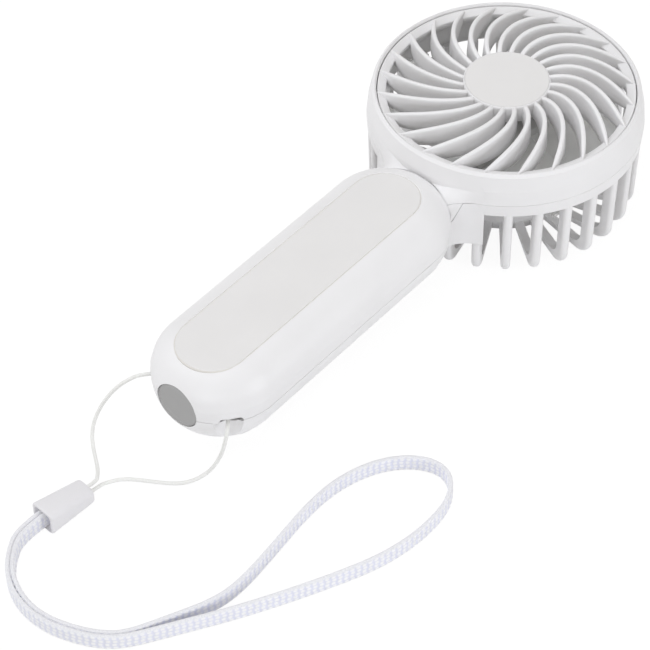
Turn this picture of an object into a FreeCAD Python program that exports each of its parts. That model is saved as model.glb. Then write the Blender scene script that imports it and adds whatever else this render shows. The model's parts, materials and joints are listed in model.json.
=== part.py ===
import FreeCAD, Part
import math
import os

# Handheld fan with a folding crank generator in its handle, and a wrist strap.
# Millimetres. The fan lies on its back: Z is the axis of the fan head and points out of the
# front grille, z = 0 is the surface it rests on, and the handle runs along -Y.

V = FreeCAD.Vector
UP = V(0, 0, 1)

# ---------------------------------------------------------------- driving dimensions
# Fan head
HEAD_R = 45.0             # outer radius of the head where front ring and rear cage meet
HEAD_TOP_R = 43.4         # outer radius of the front ring near its front edge
HEAD_SPLIT_Z = 31.5       # joint face of front ring and rear cage
RING_FRONT_Z = 42.6       # front edge of the front ring
GRILLE_R = 41.55          # outer radius of the grille flange
GRILLE_GAP = 0.3          # visible gap round the grille flange
FLANGE_INNER_R = 38.25
FLANGE_OUTER_Z = 41.8
FLANGE_INNER_Z = 40.5
FLANGE_SEAT_Z = 38.3      # underside of the flange, on the ledge of the ring
LEDGE_IN = 1.6            # how far the ledge reaches in under the flange
LEDGE_THICK = 1.8
RIB_COUNT = 24            # spiral ribs of the front grille
RIB_THICK = 1.5
RIB_SWEEP = 34.75         # degrees that a rib turns between flange and boss
RIB_TIP_ANGLE = -2.93     # angle of the first rib's tip
RIB_OUT_R = 41.0
RIB_IN_R = 13.6
BOSS_R = 14.1
BOSS_TOP_Z = 45.15
BOSS_DEPTH = 6.0
BOSS_WALL = 1.5
BOSS_EDGE_R = 0.85
DISC_R = 13.45
DISC_THICK = 0.9
CAGE_WALL = 2.0
CAGE_BAND_Z = 27.0        # lower edge of the solid band of the rear cage
SLAT_COUNT = 28           # slats of the rear cage, one of them behind the neck
SLAT_WIDTH = 2.9
SLAT_DEPTH = 3.6
SLAT_TOP_R = 44.6
SLAT_LOW_R = 44.1
SLAT_BEND_R = 5.5
SLAT_LOW_Z = 0.1
SLAT_EDGE_R = 1.25        # rounding of the slats' outer edges
RIB_REAR_THICK = 2.6
POD_R = 22.5              # cup in the middle of the rear cage that carries the motor
POD_WALL = 1.6
POD_TOP_Z = 14.0
POD_LOW_Z = 0.6
REAR_CAP_THICK = 1.3

# Neck between head and handle
NECK_HALF_W = 13.6
NECK_TOP_Z = 33.6
NECK_LOW_Z = 14.2
NECK_CORNER_R = 5.0
NECK_FLARE = 5.6          # how far the neck's sides spread to meet the head
NECK_RISE = 4.4           # how far its front rises to meet the head
NECK_TAB_W = 13.75        # half width of the ring's half of the neck at the handle's joint
NECK_TAB_SPREAD = 2.2     # how much wider it is at the head's joint
NECK_TAB_R = 1.3
NECK_GAP = 0.12
NECK_IN_Y = -56.0         # inner end of the neck stub, inside the handle
NECK_WIRE_W = 8.0         # wire channel through the neck
NECK_WIRE_H = 5.0

# Fan motor and impeller
SHAFT_R = 1.5
RUN_GAP = 0.05            # running clearance, radial
TUBE_R = 3.6              # bearing tube
TUBE_BORE_R = 3.0
STATOR_R = 9.4
STATOR_TEETH = 9
STATOR_LOW_Z = 20.0
STATOR_THICK = 7.0
COIL_OVER = 1.8           # how far a coil stands past the core
MAGNET_IN_R = 10.0
MAGNET_OUT_R = 11.6
YOKE_OUT_R = 12.6
YOKE_LOW_Z = 17.5
YOKE_HIGH_Z = 30.4
HUB_R = 14.2
HUB_TOP_Z = 32.4
HUB_WALL = 1.4
BLADE_COUNT = 7
BLADE_TIP_R = 38.8
BLADE_THICK = 1.0

WIRE_R = 0.45
WIRE_PITCH = 1.05

# Handle
HANDLE_HALF_W = 20.55
HANDLE_MID_Z = 26.3       # height of the widest place
HANDLE_FRONT_Z = 38.8
HANDLE_BACK_Z = 10.0
HANDLE_FLAT_HALF = 9.0    # half width of the flats on front and back
HANDLE_NEAR_Y = -62.0     # centre of the round end at the head
HANDLE_FAR_Y = -139.5     # centre of the round end at the tail
HANDLE_SPLIT_Z = 24.0     # joint face of the two handle shells
HANDLE_WALL = 1.8
FRONT_WALL = 3.2          # the front wall carries the panel in a pocket
SEAM_W = 0.24             # fine groove along the joint of the shells
SEAM_DEPTH = 0.3
HEAD_GAP = 0.35           # between handle shells and head
PANEL_HALF_W = 11.2
PANEL_NEAR_Y = -62.4
PANEL_FAR_Y = -141.7
PANEL_TOP_Z = 38.55
PANEL_THICK = 1.2
PANEL_GAP = 0.16
PANEL_EDGE_R = 0.3
PANEL_LIP = 0.3           # bevel of the pocket's edge

# Power button in the tail
BUTTON_R = 7.5
BUTTON_FACE_Y = -158.4
BUTTON_Z = 25.5
BUTTON_THICK = 2.2
BUTTON_GAP = 0.15
BUTTON_STEM_R = 2.0
BUTTON_TRAVEL = 0.5
SWITCH_BOARD_Y = -148.8   # inner face of the small upright board behind the button
SWITCH_BOARD_HALF_W = 7.5
SWITCH_BOARD_H = 12.0
BOARD_THICK = 1.2
SWITCH_HALF = 3.0
SWITCH_DEPTH = 3.4
PLUNGER_R = 1.5
PLUNGER_OUT = 0.8         # how far the plunger stands out of the switch, and as far in

# Strap holes and posts
STRAP_HOLE_X = 15.6
STRAP_HOLE_Y = -152.4
STRAP_HOLE_LONG = 7.4
STRAP_HOLE_HIGH = 3.2
STRAP_OUT_X = 0.62        # direction in which the holes lead out
STRAP_OUT_Y = -0.785
STRAP_SCOOP_FLOOR = 4.6   # width of the scoop's floor
STRAP_SCOOP_MOUTH = 9.4
STRAP_SCOOP_DEPTH = 2.3
STRAP_PAD_R = 7.6         # thick place of the rear shell behind the scoop
STRAP_PAD_TOP_Z = 22.3
POST_X = 11.6
POST_Y = -148.6
POST_R = 1.2
POST_LOW_Z = 13.3         # blind ends of the posts in the two shells
POST_HIGH_Z = 34.5

# Crank and gear train (module in mm, tooth numbers)
MODULE = 0.5
GEAR_THICK = 2.2
CRANK_TEETH = 48
PINION_TEETH = 12
WHEEL_A_TEETH = 40
WHEEL_B_TEETH = 36
PRESSURE_ANGLE = 20.0
TOOTH_SLACK = 0.06        # taken off each tooth at the pitch circle
CRANK_Y = -100.0
IDLER_A_X = 5.0           # sideways place of the first idler
IDLER_B_X = -4.0
GENERATOR_X = 4.0
CRANK_SHAFT_R = 2.5
BUSH_R = 4.2
BUSH_FLANGE_R = 6.2
BUSH_FLANGE_THICK = 0.7
CRANK_GEAR_Z = 13.6
PLATE_Z = 22.6
PLATE_THICK = 1.2
PLATE_HALF_W = 12.9
PLATE_NEAR_Y = -62.6
PLATE_FAR_Y = -116.0
PILLAR_R = 2.2
AXLE_R = 1.0

CRANK_ARM_R = 36.5        # from the crank axis to the knob's fold pin
ARM_HALF_W = 7.4
ARM_TOP_GAP = 0.05        # between arm and bush flange
ARM_THICK = 5.6
ARM_HUB_R = 8.2
ARM_END_PAST_PIN = 5.4
FORK_ROOF = 0.9           # web that joins the fork's two ears above the knob's eye
KNOB_R = 4.3
KNOB_LONG = 19.5
KNOB_SLOT_GAP = 0.4
KNOB_AXIS_Z = 4.8
KNOB_PIN_R = 1.2
STEM_R = 1.9
EAR_LONG = 3.4            # the knob's eye round the fold pin, along the knob

# Generator and battery
GENERATOR_R = 8.0
GENERATOR_H = 9.4
GENERATOR_WALL = 0.8
BATTERY_HALF_W = 12.4
BATTERY_LONG = 54.0
BATTERY_THICK = 8.0
BATTERY_NEAR_Y = -80.5
BATTERY_TOP_GAP = 0.2     # to the ribs of the front shell that hold it
CONTROL_Z = 15.4
CONTROL_HALF_W = 12.0
CONTROL_NEAR_Y = -118.5
CONTROL_FAR_Y = -145.6

SHELL_SCREWS = [(15.3, -59.8), (-15.3, -59.8), (15.3, -131.0), (-15.3, -131.0)]
SHELL_SCREW_Z = 17.2      # where the heads of the shell screws seat
SHELL_SCREW_R = 1.1
SHELL_SCREW_HEAD_R = 1.85
SHELL_BOSS_R = 2.7

# Wrist strap
STRING_D = 1.2
STRING_FLOOR_Z = 0.75
TAPE_W = 5.6
TAPE_THICK = 1.1
TAPE_FLOOR_GAP = 0.5
SLEEVE_LONG = 16.3
SLEEVE_FRONT_W = 5.5      # the string goes in at the smaller end
SLEEVE_FRONT_H = 6.1
SLEEVE_REAR_W = 7.6
SLEEVE_REAR_H = 8.1
SLEEVE_EDGE_R = 1.1
SLEEVE_END_R = 0.45       # rounding round the smaller end
SLEEVE_WALL = 0.85        # at the sides of its mouths
SLEEVE_FLOOR = 0.4        # under its mouths
SLEEVE_MOUTH = 2.0        # depth of the mouths that string and tape go into
SLEEVE_FRONT_X = -12.75   # middle of the sleeve's front face
SLEEVE_FRONT_Y = -186.0
SLEEVE_ANGLE = -95.8      # direction in which it points, from front to back

# ---------------------------------------------------------------- derived places
ARM_TOP_Z = HANDLE_BACK_Z - BUSH_FLANGE_THICK - ARM_TOP_GAP
ARM_LOW_Z = ARM_TOP_Z - ARM_THICK
KNOB_PIN_Y = CRANK_Y - CRANK_ARM_R
BATTERY_TOP_Z = HANDLE_FRONT_Z - FRONT_WALL - BATTERY_TOP_GAP
BATTERY_LOW_Z = BATTERY_TOP_Z - BATTERY_THICK
FLOOR_Z = HANDLE_BACK_Z + HANDLE_WALL           # inside face of the handle's back
MOTOR_BOARD_Z = POD_TOP_Z - POD_WALL - 3.4      # underside of the round board in the pod
WHEEL_A_Z = CRANK_GEAR_Z + GEAR_THICK + 1.2
WHEEL_B_Z = WHEEL_A_Z + GEAR_THICK + 0.8
GENERATOR_LOW_Z = PLATE_Z + PLATE_THICK


def pitch_r(teeth):
    return MODULE * teeth / 2.0


def next_axis(start, x, distance, toward_head=True):
    """The axis at a given sideways place and a given distance from another axis."""
    dy = math.sqrt(distance ** 2 - (x - start.x) ** 2)
    return V(x, start.y + (dy if toward_head else -dy), 0)


CRANK_AXIS = V(0, CRANK_Y, 0)
IDLER_A = next_axis(CRANK_AXIS, IDLER_A_X, pitch_r(CRANK_TEETH + PINION_TEETH))
IDLER_B = next_axis(IDLER_A, IDLER_B_X, pitch_r(WHEEL_A_TEETH + PINION_TEETH))
GENERATOR = next_axis(IDLER_B, GENERATOR_X, pitch_r(WHEEL_B_TEETH + PINION_TEETH))


# ---------------------------------------------------------------- small helpers
def cylinder(radius, z0, z1, x=0.0, y=0.0):
    return Part.makeCylinder(radius, z1 - z0, V(x, y, z0), UP)


def tube(outer, inner, z0, z1, x=0.0, y=0.0):
    return cylinder(outer, z0, z1, x, y).cut(cylinder(inner, z0 - 1, z1 + 1, x, y))


def box(x0, x1, y0, y1, z0, z1):
    return Part.makeBox(x1 - x0, y1 - y0, z1 - z0, V(x0, y0, z0))


def turned(points, centre=V(0, 0, 0), angle=360.0, start=0.0):
    """A solid of revolution about Z through centre; points are (radius, z)."""
    corners = [V(r, 0, z) for r, z in points]
    face = Part.Face(Part.makePolygon(corners + corners[:1]))
    solid = face.revolve(V(0, 0, 0), UP, angle)
    solid.rotate(V(0, 0, 0), UP, start)
    solid.translate(centre)
    return solid


def fused(shapes):
    """One clean solid from shapes that touch or overlap."""
    first = shapes[0]
    return first.fuse(shapes[1:]).removeSplitter() if len(shapes) > 1 else first


def rotated(shape, angle, centre=V(0, 0, 0), axis=UP):
    copy = shape.copy()
    copy.rotate(centre, axis, angle)
    return copy


def stadium_outline(half_w, y_near, y_far, z):
    arc_near = Part.Arc(V(half_w, y_near, z), V(0, y_near + half_w, z), V(-half_w, y_near, z))
    arc_far = Part.Arc(V(-half_w, y_far, z), V(0, y_far - half_w, z), V(half_w, y_far, z))
    side_a = Part.LineSegment(V(-half_w, y_near, z), V(-half_w, y_far, z))
    side_b = Part.LineSegment(V(half_w, y_far, z), V(half_w, y_near, z))
    return Part.Wire([e.toShape() for e in (arc_near, side_a, arc_far, side_b)])


def stadium(half_w, y_near, y_far, z0, z1):
    """A slab with round ends at y_near and y_far."""
    return Part.Face(stadium_outline(half_w, y_near, y_far, z0)).extrude(V(0, 0, z1 - z0))


def rounded_box(x0, x1, y0, y1, z0, z1, radius, axis="y"):
    """A box whose four edges along one axis are rounded."""
    block = box(x0, x1, y0, y1, z0, z1)
    index = "xyz".index(axis)
    edges = [e for e in block.Edges if abs(abs(e.tangentAt(e.FirstParameter)[index]) - 1) < 1e-6]
    return block.makeFillet(radius, edges)


def polar(radius, degrees, z=0.0):
    a = math.radians(degrees)
    return V(radius * math.cos(a), radius * math.sin(a), z)


# ---------------------------------------------------------------- fan head
def neck_stub(z0, z1, gap=0.0):
    """The neck's inner end between two heights, from inside the head to inside the handle."""
    w = NECK_HALF_W + gap
    whole = rounded_box(-w, w, NECK_IN_Y - gap, -HEAD_R + 5.0, NECK_LOW_Z - gap,
                        NECK_TOP_Z + gap, NECK_CORNER_R)
    return whole.common(box(-40, 40, NECK_IN_Y - 2, 0, z0, z1))


def neck_section(y, half_w, top_z):
    """Outline of the neck across the handle's direction, with rounded front corners."""
    r = NECK_CORNER_R
    bevel = r * (1 - math.cos(math.radians(45)))
    low = NECK_LOW_Z
    right = Part.Arc(V(half_w, y, top_z - r), V(half_w - bevel, y, top_z - bevel), V(half_w - r, y, top_z))
    left = Part.Arc(V(r - half_w, y, top_z), V(bevel - half_w, y, top_z - bevel), V(-half_w, y, top_z - r))
    return Part.Wire([
        Part.makeLine(V(-half_w, y, low), V(half_w, y, low)),
        Part.makeLine(V(half_w, y, low), V(half_w, y, top_z - r)), right.toShape(),
        Part.makeLine(V(half_w - r, y, top_z), V(r - half_w, y, top_z)), left.toShape(),
        Part.makeLine(V(-half_w, y, top_z - r), V(-half_w, y, low))])


def neck_trumpet():
    """The neck's outside, which widens and rises from the handle into the head."""
    y_neck = HANDLE_NEAR_Y + math.sqrt(HANDLE_HALF_W ** 2 - NECK_HALF_W ** 2) - 1.0
    y_head = -math.sqrt(HEAD_R ** 2 - (NECK_HALF_W + NECK_FLARE) ** 2)
    sections = []
    for i in range(7):
        t = i / 5.0
        spread = t ** 1.9
        sections.append(neck_section(y_neck + (y_head - y_neck) * t, NECK_HALF_W + NECK_FLARE * spread,
                                     NECK_TOP_Z + NECK_RISE * spread))
    trumpet = Part.makeLoft(sections, True)
    return trumpet.cut(handle_body(-HEAD_GAP))


def neck_tab(gap=0.0):
    """The space of the ring's half of the neck, a slot that narrows toward the handle's joint."""
    low = HANDLE_SPLIT_Z - gap
    narrow = NECK_TAB_W + gap
    wide = narrow + NECK_TAB_SPREAD
    high = HEAD_SPLIT_Z
    y = NECK_IN_Y - 1.0
    corners = [V(-narrow, y, low), V(narrow, y, low), V(wide, y, high), V(-wide, y, high)]
    slot = Part.Face(Part.makePolygon(corners + corners[:1])).extrude(V(0, 25.0, 0))
    lower = [e for e in slot.Edges if e.BoundBox.ZMax < low + 1e-6 and e.BoundBox.YLength > 1.0]
    return slot.makeFillet(NECK_TAB_R, lower)


def neck_channel():
    mid = HANDLE_SPLIT_Z
    return box(-NECK_WIRE_W / 2, NECK_WIRE_W / 2, NECK_IN_Y - 2, -HEAD_R + 8,
               mid - NECK_WIRE_H / 2, mid + NECK_WIRE_H / 2)


def front_ring():
    """The smooth ring round the grille, with the front half of the neck."""
    inner = GRILLE_R + GRILLE_GAP
    ledge_r = GRILLE_R - LEDGE_IN
    ledge_low = FLANGE_SEAT_Z - LEDGE_THICK
    lip_r = HEAD_R - CAGE_WALL - 0.1
    ring = turned([
        (inner, FLANGE_SEAT_Z), (inner, RING_FRONT_Z - 0.6), (inner + 0.5, RING_FRONT_Z),
        (HEAD_TOP_R - 0.9, RING_FRONT_Z), (HEAD_TOP_R, RING_FRONT_Z - 0.9),
        (HEAD_R - 0.5, RING_FRONT_Z - 6.0), (HEAD_R, HEAD_SPLIT_Z + SEAM_W / 2),
        (HEAD_R - SEAM_DEPTH, HEAD_SPLIT_Z), (lip_r, HEAD_SPLIT_Z), (lip_r, HEAD_SPLIT_Z - 1.5),
        (lip_r - 1.2, HEAD_SPLIT_Z - 1.5), (lip_r - 1.2, ledge_low - 1.0), (ledge_r, ledge_low),
        (ledge_r, FLANGE_SEAT_Z)])
    neck = neck_trumpet().fuse(neck_stub(NECK_LOW_Z, NECK_TOP_Z))
    above = box(-40, 40, NECK_IN_Y - 2, 0, HEAD_SPLIT_Z + SEAM_W / 2, RING_FRONT_Z)
    front_half = neck.common(neck_tab(-NECK_GAP / 2).fuse(above))
    front_half = front_half.cut(cylinder(lip_r, 0, 60)).cut(neck_channel())
    web = box(-NECK_HALF_W + 1.5, NECK_HALF_W - 1.5, -HEAD_R - 0.2, -HEAD_R + CAGE_WALL,
              HEAD_SPLIT_Z, HEAD_SPLIT_Z + 1.5)
    return fused([ring, front_half, web.common(front_half.fuse(ring))])


def rib_angle(u):
    bend = 0.246 * u * (1 - u) - 0.33 * u * (1 - u) * (1 - 2 * u)
    return RIB_SWEEP * (u + bend)


def rib_crest(u):
    """Height of a rib's crest; u runs from 0 at the flange to 1 at the boss."""
    return FLANGE_OUTER_Z + 3.2 * u + 10.8 * u * (1 - u)


def rib_band(first_z, last_z):
    """One spiral rib as an upright band, cut to height later."""
    steps = 8
    left, right = [], []
    for i in range(steps + 1):
        u = i / steps
        radius = RIB_OUT_R + (RIB_IN_R - RIB_OUT_R) * u
        ahead = polar(RIB_OUT_R + (RIB_IN_R - RIB_OUT_R) * (u + 0.01), rib_angle(u + 0.01))
        here = polar(radius, rib_angle(u))
        along = (ahead - here).normalize()
        side = V(-along.y, along.x, 0)
        half = RIB_THICK / 2 * min(1.0, 0.25 + 4.0 * u)
        left.append(here + side * half)
        right.append(here - side * half)
    curves = []
    for points in (left, right):
        curve = Part.BSplineCurve()
        curve.interpolate([V(p.x, p.y, first_z) for p in points])
        curves.append(curve.toShape())
    lift = V(0, 0, first_z)
    close_out = Part.makeLine(left[0] + lift, right[0] + lift)
    close_in = Part.makeLine(right[-1] + lift, left[-1] + lift)
    outline = Part.Wire(Part.__sortEdges__([curves[0], close_in, curves[1], close_out]))
    return Part.Face(outline).extrude(V(0, 0, last_z - first_z))


def front_grille():
    """Flange, spiral ribs and centre boss in one moulding."""
    flange = turned([
        (FLANGE_INNER_R, FLANGE_SEAT_Z), (GRILLE_R, FLANGE_SEAT_Z),
        (GRILLE_R, FLANGE_OUTER_Z - 0.1), (GRILLE_R - 0.2, FLANGE_OUTER_Z),
        (FLANGE_INNER_R, FLANGE_INNER_Z)])
    boss_low = BOSS_TOP_Z - BOSS_DEPTH
    boss = cylinder(BOSS_R, boss_low, BOSS_TOP_Z)
    rim = [e for e in boss.Edges if abs(e.BoundBox.ZMin - BOSS_TOP_Z) < 1e-6 and len(e.Vertexes) == 1]
    boss = boss.makeFillet(BOSS_EDGE_R, rim)
    boss = boss.cut(cylinder(BOSS_R - BOSS_WALL, boss_low - 1, BOSS_TOP_Z - DISC_THICK - 1.4))
    boss = boss.cut(cylinder(DISC_R + 0.1, BOSS_TOP_Z - DISC_THICK, BOSS_TOP_Z + 1))
    steps = 10
    crest = [(RIB_OUT_R + (RIB_IN_R - RIB_OUT_R) * i / steps, rib_crest(i / steps))
             for i in range(steps + 1)]
    under_mid = FLANGE_SEAT_Z - 0.2
    ledge_r = GRILLE_R - LEDGE_IN
    window = turned([(RIB_OUT_R, FLANGE_SEAT_Z), (RIB_OUT_R, FLANGE_OUTER_Z)] + crest[1:] +
                    [(RIB_IN_R, boss_low + 0.6), (26.0, under_mid), (ledge_r - 0.3, FLANGE_SEAT_Z)])
    bands = [rotated(rib_band(30.0, 50.0), RIB_TIP_ANGLE + 360.0 / RIB_COUNT * k)
             for k in range(RIB_COUNT)]
    ribs = [band.common(window) for band in bands]
    return fused([flange, boss] + ribs)


def grille_disc():
    disc = cylinder(DISC_R, BOSS_TOP_Z - DISC_THICK, BOSS_TOP_Z - 0.03)
    return disc


def slat():
    """One slat of the rear cage: down the side, round the bend and in to the pod, at +X."""
    low = SLAT_LOW_Z
    bend = SLAT_BEND_R
    roof = POD_LOW_Z + RIB_REAR_THICK
    inner_bend = bend - SLAT_EDGE_R
    half_turn = math.cos(math.radians(45))
    c = V(SLAT_LOW_R - bend, 0, low + bend)
    out_top = V(SLAT_TOP_R, 0, CAGE_BAND_Z + 1.0)
    out_low = V(SLAT_LOW_R, 0, low + bend)
    mid = c + V(bend * half_turn, 0, -bend * half_turn)
    floor_out = V(c.x, 0, low)
    floor_in = V(POD_R - 0.8, 0, POD_LOW_Z + 0.05)
    roof_in = V(POD_R - 0.8, 0, roof)
    in_x = SLAT_LOW_R - SLAT_DEPTH
    roof_out = V(in_x - inner_bend, 0, roof)
    inner_mid = V(in_x - inner_bend * (1 - half_turn), 0, roof + inner_bend * (1 - half_turn))
    in_low = V(in_x, 0, roof + inner_bend)
    in_top = V(SLAT_TOP_R - SLAT_DEPTH, 0, CAGE_BAND_Z + 1.0)
    edges = [
        Part.makeLine(out_top, out_low), Part.Arc(out_low, mid, floor_out).toShape(),
        Part.makeLine(floor_out, floor_in), Part.makeLine(floor_in, roof_in),
        Part.makeLine(roof_in, roof_out), Part.Arc(roof_out, inner_mid, in_low).toShape(),
        Part.makeLine(in_low, in_top), Part.makeLine(in_top, out_top)]
    face = Part.Face(Part.Wire(edges))
    face.translate(V(0, -SLAT_WIDTH / 2, 0))
    bar = face.extrude(V(0, SLAT_WIDTH, 0))
    outside = [e for e in bar.Edges if e.BoundBox.YLength < 1e-6 and on_outside(e, floor_in, out_low)]
    return bar.makeFillet(SLAT_EDGE_R, outside)


def on_outside(edge, floor_in, out_low):
    """True for the edges of a slat that run along its outer face, bend and floor."""
    middle = edge.valueAt((edge.FirstParameter + edge.LastParameter) / 2)
    under = middle.z < floor_in.z + 0.02
    beyond = middle.x > out_low.x - SLAT_BEND_R * 0.5 and middle.z < out_low.z
    return under or beyond or middle.x > out_low.x - 0.01


def rear_cage():
    """Slatted back of the head with the motor pod and the rear half of the neck."""
    band = turned([
        (HEAD_R - CAGE_WALL, CAGE_BAND_Z), (SLAT_TOP_R + 0.1, CAGE_BAND_Z),
        (HEAD_R, HEAD_SPLIT_Z - SEAM_W / 2), (HEAD_R - SEAM_DEPTH, HEAD_SPLIT_Z),
        (HEAD_R - CAGE_WALL, HEAD_SPLIT_Z)])
    slats = [rotated(slat(), -90.0 + 360.0 / SLAT_COUNT * k) for k in range(SLAT_COUNT)]
    sector = 50.0
    wall = turned([
        (SLAT_LOW_R - CAGE_WALL, NECK_LOW_Z), (SLAT_LOW_R + 0.5, NECK_LOW_Z),
        (SLAT_TOP_R + 0.1, CAGE_BAND_Z + 0.5), (HEAD_R - CAGE_WALL, CAGE_BAND_Z + 0.5)],
        angle=sector, start=-90.0 - sector / 2)
    neck = neck_trumpet().fuse(neck_stub(NECK_LOW_Z, NECK_TOP_Z))
    neck = neck.common(box(-40, 40, NECK_IN_Y - 2, 0, NECK_LOW_Z, HEAD_SPLIT_Z - SEAM_W / 2))
    neck = neck.cut(cylinder(SLAT_LOW_R - CAGE_WALL, 0, 60))
    neck = neck.cut(cylinder(HEAD_R - CAGE_WALL, CAGE_BAND_Z + 0.5, 60))
    pod = turned([
        (POD_R - POD_WALL, POD_LOW_Z), (POD_R, POD_LOW_Z), (POD_R, POD_TOP_Z - 1.0),
        (POD_R - 1.0, POD_TOP_Z), (TUBE_R, POD_TOP_Z), (TUBE_R, POD_TOP_Z - POD_WALL),
        (POD_R - POD_WALL, POD_TOP_Z - POD_WALL)])
    cage = fused([band, wall, neck, pod] + slats)
    # room for the front half of the neck, which belongs to the ring
    cage = cage.cut(neck_tab(NECK_GAP / 2).cut(cylinder(HEAD_R - CAGE_WALL - 0.25, 0, 60)))
    wire_slot = box(-NECK_WIRE_W / 2, NECK_WIRE_W / 2, -HEAD_R - 20, -HEAD_R + 8,
                    HANDLE_SPLIT_Z - NECK_WIRE_H / 2, CAGE_BAND_Z + 1.5)
    pod_notch = box(-2.2, 2.2, -POD_R - 1, -POD_R + POD_WALL + 1, POD_LOW_Z + RIB_REAR_THICK,
                    POD_LOW_Z + RIB_REAR_THICK + 2.4)
    return cage.cut(wire_slot).cut(pod_notch)


def rear_cap():
    """The plain disc that closes the pod; the head rests on it."""
    skirt_r = POD_R - POD_WALL - 0.1
    return turned([
        (0, 0), (POD_R - 0.8, 0), (POD_R, 0.5), (POD_R, POD_LOW_Z - 0.05),
        (skirt_r, POD_LOW_Z - 0.05), (skirt_r, POD_LOW_Z + 1.8), (skirt_r - 1.0, POD_LOW_Z + 1.8),
        (skirt_r - 1.0, REAR_CAP_THICK), (0, REAR_CAP_THICK)])


# ---------------------------------------------------------------- fan motor and impeller
def motor_base():
    """Flange on the pod with the bearing tube."""
    flange = cylinder(9.0, POD_TOP_Z, POD_TOP_Z + 1.2)
    tube_part = cylinder(TUBE_R - 0.02, POD_TOP_Z - POD_WALL - 2.0, STATOR_LOW_Z + STATOR_THICK + 1)
    shoulder = cylinder(TUBE_R + 1.4, POD_TOP_Z, STATOR_LOW_Z)
    whole = fused([flange, tube_part, shoulder])
    whole = whole.cut(cylinder(TUBE_BORE_R, POD_TOP_Z - 6, STATOR_LOW_Z + STATOR_THICK + 2))
    for angle in (90, 210, 330):
        p = polar(7.0, angle)
        whole = whole.cut(cylinder(0.95, POD_TOP_Z - 1, POD_TOP_Z + 3, p.x, p.y))
    return whole


def motor_bearings():
    low = POD_TOP_Z - POD_WALL - 1.6
    high = STATOR_LOW_Z + STATOR_THICK - 1.4
    return Part.makeCompound([tube(TUBE_BORE_R, SHAFT_R + 0.02, z, z + 2.0) for z in (low, high)])


def motor_shaft():
    return cylinder(SHAFT_R, POD_TOP_Z - POD_WALL - 1.9, HUB_TOP_Z - HUB_WALL + 0.9)


def motor_screws():
    screws = []
    for angle in (90, 210, 330):
        p = polar(7.0, angle)
        head = cylinder(1.5, POD_TOP_Z + 1.2, POD_TOP_Z + 2.2, p.x, p.y)
        shank = cylinder(0.8, POD_TOP_Z + 0.1, POD_TOP_Z + 1.2, p.x, p.y)
        screws.append(head.fuse(shank).removeSplitter())
    return Part.makeCompound(screws)


def stator_core():
    core = tube(TUBE_R + 2.0, TUBE_R, STATOR_LOW_Z, STATOR_LOW_Z + STATOR_THICK)
    pieces = [core]
    for k in range(STATOR_TEETH):
        angle = 360.0 / STATOR_TEETH * k
        arm = box(TUBE_R + 1.0, STATOR_R - 0.6, -0.75, 0.75, STATOR_LOW_Z, STATOR_LOW_Z + STATOR_THICK)
        shoe = turned([
            (STATOR_R - 1.0, STATOR_LOW_Z), (STATOR_R, STATOR_LOW_Z),
            (STATOR_R, STATOR_LOW_Z + STATOR_THICK), (STATOR_R - 1.0, STATOR_LOW_Z + STATOR_THICK)],
            angle=30.0, start=-15.0)
        pieces.append(rotated(arm.fuse(shoe), angle))
    return fused(pieces)


def stator_coils():
    coils = []
    z0 = STATOR_LOW_Z - COIL_OVER
    z1 = STATOR_LOW_Z + STATOR_THICK + COIL_OVER
    for k in range(STATOR_TEETH):
        body = rounded_box(TUBE_R + 2.5, STATOR_R - 1.4, -1.35, 1.35, z0, z1, 0.5, axis="x")
        hole = box(0, STATOR_R, -0.8, 0.8, STATOR_LOW_Z - 0.05, STATOR_LOW_Z + STATOR_THICK + 0.05)
        coils.append(rotated(body.cut(hole), 360.0 / STATOR_TEETH * k))
    return Part.makeCompound(coils)


def motor_board():
    z = MOTOR_BOARD_Z
    board = tube(POD_R - POD_WALL - 1.5, TUBE_R + 0.6, z, z + BOARD_THICK)
    pads = []
    for angle in (40, 150, 260):
        p = polar(13.5, angle)
        pads.append(box(p.x - 1.6, p.x + 1.6, p.y - 1.2, p.y + 1.2, z + BOARD_THICK, z + BOARD_THICK + 1.1))
    posts = []
    for angle in (0, 120, 240):
        p = polar(17.0, angle)
        posts.append(cylinder(1.2, z + BOARD_THICK, POD_TOP_Z - POD_WALL, p.x, p.y))
    return fused([board] + pads + posts)


def wire_run(points, radius=WIRE_R):
    """One insulated wire of straight runs with round knees."""
    runs = [Part.makeCylinder(radius, (b - a).Length, a, b - a) for a, b in zip(points, points[1:])]
    knees = [Part.makeSphere(radius, p) for p in points[1:-1]]
    return fused(runs + knees)


def motor_leads():
    """Three wires from the motor board along a rear rib, through the neck, to the control board."""
    z_low = POD_LOW_Z + RIB_REAR_THICK + 1.2
    board_y = -POD_R + POD_WALL + 3.0
    rim_y = -(BLADE_TIP_R + SLAT_LOW_R - SLAT_DEPTH) / 2
    z_neck = HANDLE_SPLIT_Z
    z_over = (PLATE_Z + PLATE_THICK + BATTERY_LOW_Z) / 2
    z_board = CONTROL_Z + BOARD_THICK + WIRE_R
    wires = []
    for k in (-1, 0, 1):
        x = WIRE_PITCH * k
        side = GENERATOR.x - GENERATOR_R - 2.6 + x
        lane_y = NECK_IN_Y - WIRE_R - 0.2 - WIRE_PITCH * (k + 1)
        wires.append(wire_run([
            V(x, board_y, MOTOR_BOARD_Z), V(x, board_y, z_low), V(x, rim_y + 4.0, z_low),
            V(x, rim_y, z_low + 4.0), V(x, rim_y, z_neck),
            V(x, lane_y, z_neck), V(side, lane_y, z_over),
            V(side, CONTROL_NEAR_Y + 1.0, z_over), V(side, CONTROL_NEAR_Y - 1.5, z_board)]))
    return Part.makeCompound(wires)


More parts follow.
